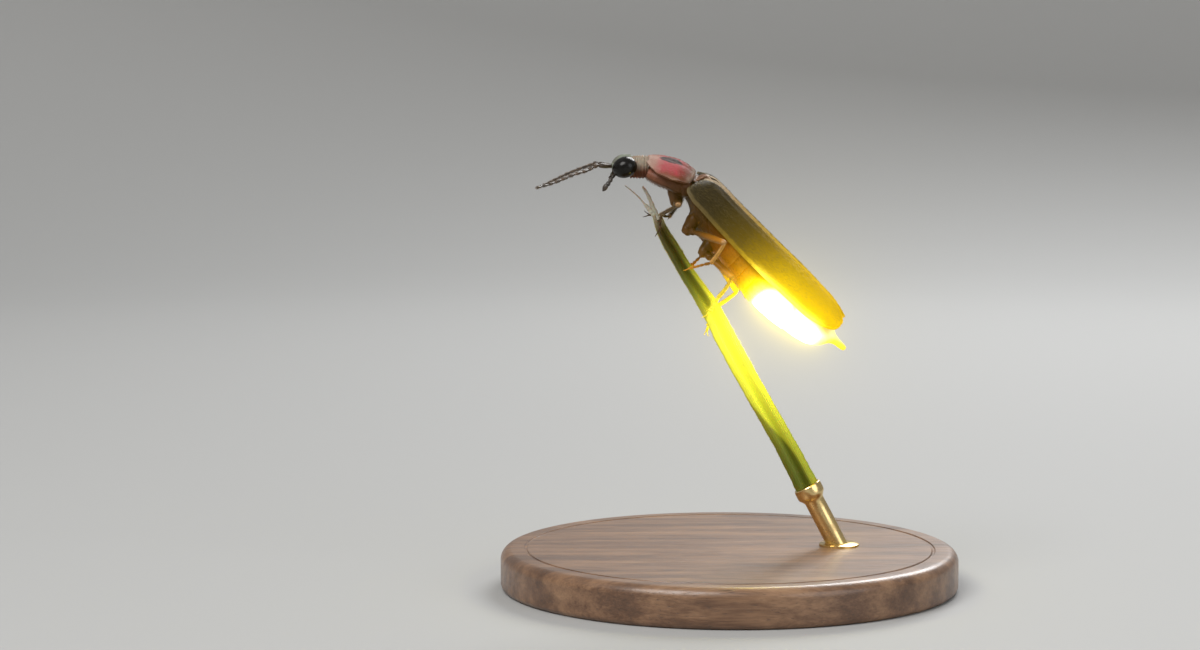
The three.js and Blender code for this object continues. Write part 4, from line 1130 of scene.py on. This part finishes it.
def grass_finish():
    """The marks are the height, the place across the blade and how torn it is."""
    finish = Finish("grass_leaf", Roughness=0.42, Specular_IOR_Level=0.25, Subsurface_Weight=0.15,
                    Subsurface_Scale=0.3 * MM)
    height, across, torn = finish.marks()
    grain = finish.noise(1.2, detail=5, vector=finish.where((1.6, 1.6, 0.35)))
    at = height + (grain - 0.5) * 0.05
    # Painted light: one part of the blade across its width is the lit side, the rest painted shade; the veins
    # show more on the lit side.
    lit_from = height.span(0.5, 0.3, 0.0, 0.68) + height.span(0.68, 0.72, 0.0, 0.72)
    lit_side = (across - lit_from).span(-0.05, 0.12)
    leaf = lit_side.blend(at.ramp(LEAF_SHADED), at.ramp(LEAF_LIT))
    veins = (across * (TURN * VEINS)).math("SINE").span(-0.6, 1.0)
    veined = (veins * (lit_side * 0.2 + 0.08)).blend(leaf, (0.5, 0.54, 0.06))
    edge = abs(across - 0.5).span(0.44, 0.5)
    # Edges are pale green low down as a painted lantern highlight, and darker higher up.
    edge_colour = height.span(0.76, 0.66).blend((0.5, 0.52, 0.05), (0.14, 0.18, 0.015))
    edged = (edge * 0.55).blend(veined, edge_colour)
    scars = finish.noise(2.2, detail=5).span(0.6, 0.72)
    scarred = (scars * 0.35).blend(edged, (0.2, 0.14, 0.05))
    finish.colour(torn.blend(scarred, grain.blend((0.36, 0.33, 0.25), (0.66, 0.63, 0.52))))
    # Painted lantern light: the blade glows golden near the lantern, most on its lit side, though it gives no
    # light.
    finish.glow((0.95, 0.98, 0.08), height.ramp(LEAF_LANTERN_LIGHT) * lit_side.span(0.0, 1.0, 0.25, 1.0))
    finish.relief(veins + finish.noise(14), 0.012, 0.8)
    return finish


def make_grass():
    shape = Shape()
    rows, marks = blade_rows()
    shape.grid(rows, marks)
    for places, thick, thin in FIBRES:
        t = steps(40)
        radii = mix(thick, thin, t) * (1 + 0.12 * np.sin(t * 31))
        shape.grid(tube(curve(in_blade(places), 40), radii, sides=12, flat=0.6), TORN_MARK)
    random = np.random.default_rng(17)
    tip = curve(in_blade(SHRED_ROOTS), 8)
    for _ in range(SHREDS):
        start = tip[random.integers(3, 8)] + (random.uniform(-0.16, 0.16), random.uniform(-0.1, 0.1), 0)
        reach = np.array((-0.42, random.uniform(-0.15, 0.15), random.uniform(0.55, 1.0)))
        reach *= random.uniform(0.35, 0.8)
        bend = start + reach * 0.5 + random.normal(0, 0.05, 3)
        shred = tube(curve([start, bend, start + reach], 14), np.linspace(0.04, 0.012, 14), sides=7, flat=0.6)
        shape.grid(shred, (*TORN_MARK[:2], random.uniform(0.5, 1)))
    shape.build("grass_leaf", grass_finish(), "grass", ("grass_blade",), crease=45)
    hairs = Coat("grass_edge")
    edges = np.zeros(rows.shape[:2])
    edges[:, [0, -2, -1]] = 1
    edges[:, BLADE_COLUMNS - 2:BLADE_COLUMNS + 1] = 1
    hairs.cover(rows, WORLD, weight=edges, lie=-1)
    hairs.grow("grass")


# Stand: a brass rod with a cup for the blade's cut end, on a turned walnut base

BASE_RADIUS, BASE_THICKNESS = 11.5, 2.0
FOOT_ROUND, BROW_ROUND = 0.3, 0.55
GROOVE_DEPTH = 0.06
ROD_RADIUS = 0.5
ROD_STOPS = np.array([
    # distance below the blade's cut end, radius
    (0.5, 0.3), (0.5, 0.61), (0.24, 0.64), (0.21, 0.665), (0.25, 0.7), (0.4, 0.715), (0.66, 0.715),
    (0.76, 0.69), (0.87, 0.6), (0.97, 0.53), (1.06, ROD_RADIUS), (1.5, ROD_RADIUS)])


def base_outline():
    arc = np.linspace(0, math.pi / 2, 9)
    foot = [(BASE_RADIUS - FOOT_ROUND * (1 - math.sin(a)), FOOT_ROUND * (1 - math.cos(a))) for a in arc]
    brow = [(BASE_RADIUS - BROW_ROUND * (1 - math.cos(a)), BASE_THICKNESS - BROW_ROUND * (1 - math.sin(a)))
            for a in arc]
    groove = [(BASE_RADIUS - inwards, BASE_THICKNESS - depth) for inwards, depth in (
        (1.15, 0), (1.2, GROOVE_DEPTH), (1.3, GROOVE_DEPTH), (1.35, 0))]
    disc = [(radius, BASE_THICKNESS) for radius in np.linspace(BASE_RADIUS - 2, 0.5, 8)]
    return [(radius, 0) for radius in (0.5, 4, 8, BASE_RADIUS - 0.6)] + foot + brow + groove + disc


def walnut_finish():
    finish = Finish("walnut_oiled", Roughness=0.4, Coat_Weight=0.35, Coat_Roughness=0.2)
    along_grain = {0: finish.where((0.1, 1, 1)), 1: finish.noise(0.12) * 1.2}
    warped = finish.node("VectorMath", along_grain, operation="ADD")
    bands = finish.noise(0.9, detail=6, roughness=0.65, vector=warped)
    fibre = finish.noise(1.0, vector=finish.where((0.5, 11, 11)))
    wood = (bands * 0.75 + fibre * 0.25).ramp([
        (0.3, 0.055, 0.026, 0.014), (0.45, 0.13, 0.064, 0.033), (0.56, 0.22, 0.118, 0.062),
        (0.7, 0.32, 0.185, 0.1)])
    pores = finish.noise(1.0, detail=2, vector=finish.where((0.7, 16, 16))).span(0.62, 0.72)
    finish.colour((pores * 0.6).blend(wood, (0.035, 0.018, 0.01)))
    finish.relief(fibre - pores, 0.02, 0.5)
    finish.roughness(fibre.span(0.3, 0.7, 0.34, 0.5))
    return finish


def brass_finish():
    finish = Finish("brass_brushed", Metallic=1.0, Roughness=0.26, Anisotropic=0.3)
    tarnish = finish.noise(0.9, detail=5).span(0.45, 0.75)
    finish.colour((tarnish * 0.6).blend((0.78, 0.58, 0.27), (0.42, 0.28, 0.12)))
    brushing = finish.noise(1.0, detail=2, vector=finish.where((3, 3, 45)))
    finish.roughness((brushing + tarnish).span(0.4, 1.4, 0.18, 0.42))
    finish.relief(brushing, 0.01, 0.3)
    return finish


def make_stand():
    base = Shape().grid(turned(base_outline()))
    base.build("stand_base_turned", walnut_finish(), "walnut", ("stand_base",), crease=35)
    above, top = in_blade([place[:2] for place in BLADE_LINE[-2:]])
    axis = unit(top - above)
    foot = top + axis * (BASE_THICKNESS - 0.1 - top[2]) / axis[2]
    path = np.concatenate([top + axis * ROD_STOPS[:, :1], [foot]])
    rod = Shape().grid(tube(path, np.append(ROD_STOPS[:, 1], ROD_RADIUS), sides=64))
    collar = [(foot[0], foot[1], BASE_THICKNESS + rise) for rise in (-0.02, 0.1, 0.15)]
    rod.grid(tube(collar, (1.0, 1.0, 0.9), sides=64))
    rod.build("stand_rod_turned", brass_finish(), "brass_rod", ("stand_rod",), crease=35)


# Studio: a pale floor, soft light and the camera

CAMERA_TARGET, CAMERA_DISTANCE, CAMERA_RISE, CAMERA_LENS = (-6.5, 0, 13.25), 166.67, 6.0, 100.0
FLOOR_FLAT, FLOOR_BEND = 160, 240
FLOOR_NEAR, FLOOR_FAR = (0.39, 0.395, 0.395), (0.66, 0.665, 0.665)
LIT_SPOT = (0, 0, 17)
LIGHTS = [
    # name, place, size, power, colour
    ("key_light", (-90, -120, 190), 150, 0.46, (1.0, 0.98, 0.95)),
    ("fill_light", (150, -130, 90), 160, 0.12, (0.95, 0.97, 1.0)),
    ("rim_light", (60, 160, 130), 110, 0.26, (1, 1, 1)),
]
AIR_COLOUR, AIR_STRENGTH = (1.0, 0.975, 0.935, 1), 0.36
LANTERN_PLACE, LANTERN_POWER = (1.7, 0, 12.9), 0.0005
HALO = {"Threshold": 1.4, "Strength": 1.0, "Size": 0.55, "Maximum": 8.0, "Tint": (1.0, 0.8, 0.0, 1.0)}


def make_floor():
    """A round floor that curves up at its edge, paler far out where less light falls."""
    arc = np.linspace(0, math.pi / 2, 24)
    outline = [(reach, 0) for reach in (0.1, 40, 80, 120)]
    outline += [(FLOOR_FLAT + FLOOR_BEND * math.sin(a), FLOOR_BEND * (1 - math.cos(a))) for a in arc]
    finish = Finish("floor_pale", Roughness=0.75)
    distance = finish.node("VectorMath", {0: finish.where()}, output="Value", operation="LENGTH")
    finish.colour(distance.span(FLOOR_FLAT, 420).blend(FLOOR_NEAR, FLOOR_FAR))
    Shape().grid(turned(outline), caps=False).piece("floor_dish", finish)


def aimed(name, data, place, target=LIT_SPOT):
    made = placed(name, data)
    made.location = Vector(place) * MM
    made.rotation_euler = (Vector(target) - Vector(place)).to_track_quat("-Z", "Y").to_euler()
    return made


def make_lights():
    for name, place, size, power, colour in LIGHTS:
        soft = bpy.data.lights.new(name, "AREA")
        soft.shape = "DISK"
        soft.size = size * MM
        soft.energy = power
        soft.color = colour
        aimed(name, soft, place)
    lantern = bpy.data.lights.new("lantern_light", "POINT")
    lantern.energy = LANTERN_POWER
    lantern.color = (1.0, 0.82, 0.06)
    lantern.shadow_soft_size = 1.0 * MM
    aimed("lantern_light", lantern, LANTERN_PLACE).visible_camera = False
    world = bpy.data.worlds.new("studio_air")
    world.use_nodes = True
    air = world.node_tree.nodes["Background"].inputs
    air["Color"].default_value = AIR_COLOUR
    air["Strength"].default_value = AIR_STRENGTH
    bpy.context.scene.world = world


def make_camera():
    lens = bpy.data.cameras.new("photo_camera")
    lens.lens = CAMERA_LENS
    lens.sensor_width = 36
    lens.clip_start, lens.clip_end = 0.001, 10
    rise = math.radians(CAMERA_RISE)
    back = Vector((0, -math.cos(rise), math.sin(rise))) * CAMERA_DISTANCE
    bpy.context.scene.camera = aimed("photo_camera", lens, Vector(CAMERA_TARGET) + back, CAMERA_TARGET)


def make_halo():
    """The camera's bloom round the lit lantern."""
    scene = bpy.context.scene
    scene.view_settings.view_transform = "Standard"
    scene.use_nodes = True
    nodes, links = scene.node_tree.nodes, scene.node_tree.links
    glare = nodes.new("CompositorNodeGlare")
    glare.glare_type = "BLOOM"
    for socket, value in HALO.items():
        glare.inputs[socket].default_value = value
    links.new(nodes["Render Layers"].outputs["Image"], glare.inputs["Image"])
    links.new(glare.outputs["Image"], nodes["Composite"].inputs["Image"])


for make in (
        make_trunk, make_elytra, make_scutellum, make_pronotum, make_prothorax, make_neck, make_head,
        make_eyes, make_antennae, make_palps, make_legs, make_grass, make_stand,
        make_floor, make_lights, make_camera, make_halo):
    make()
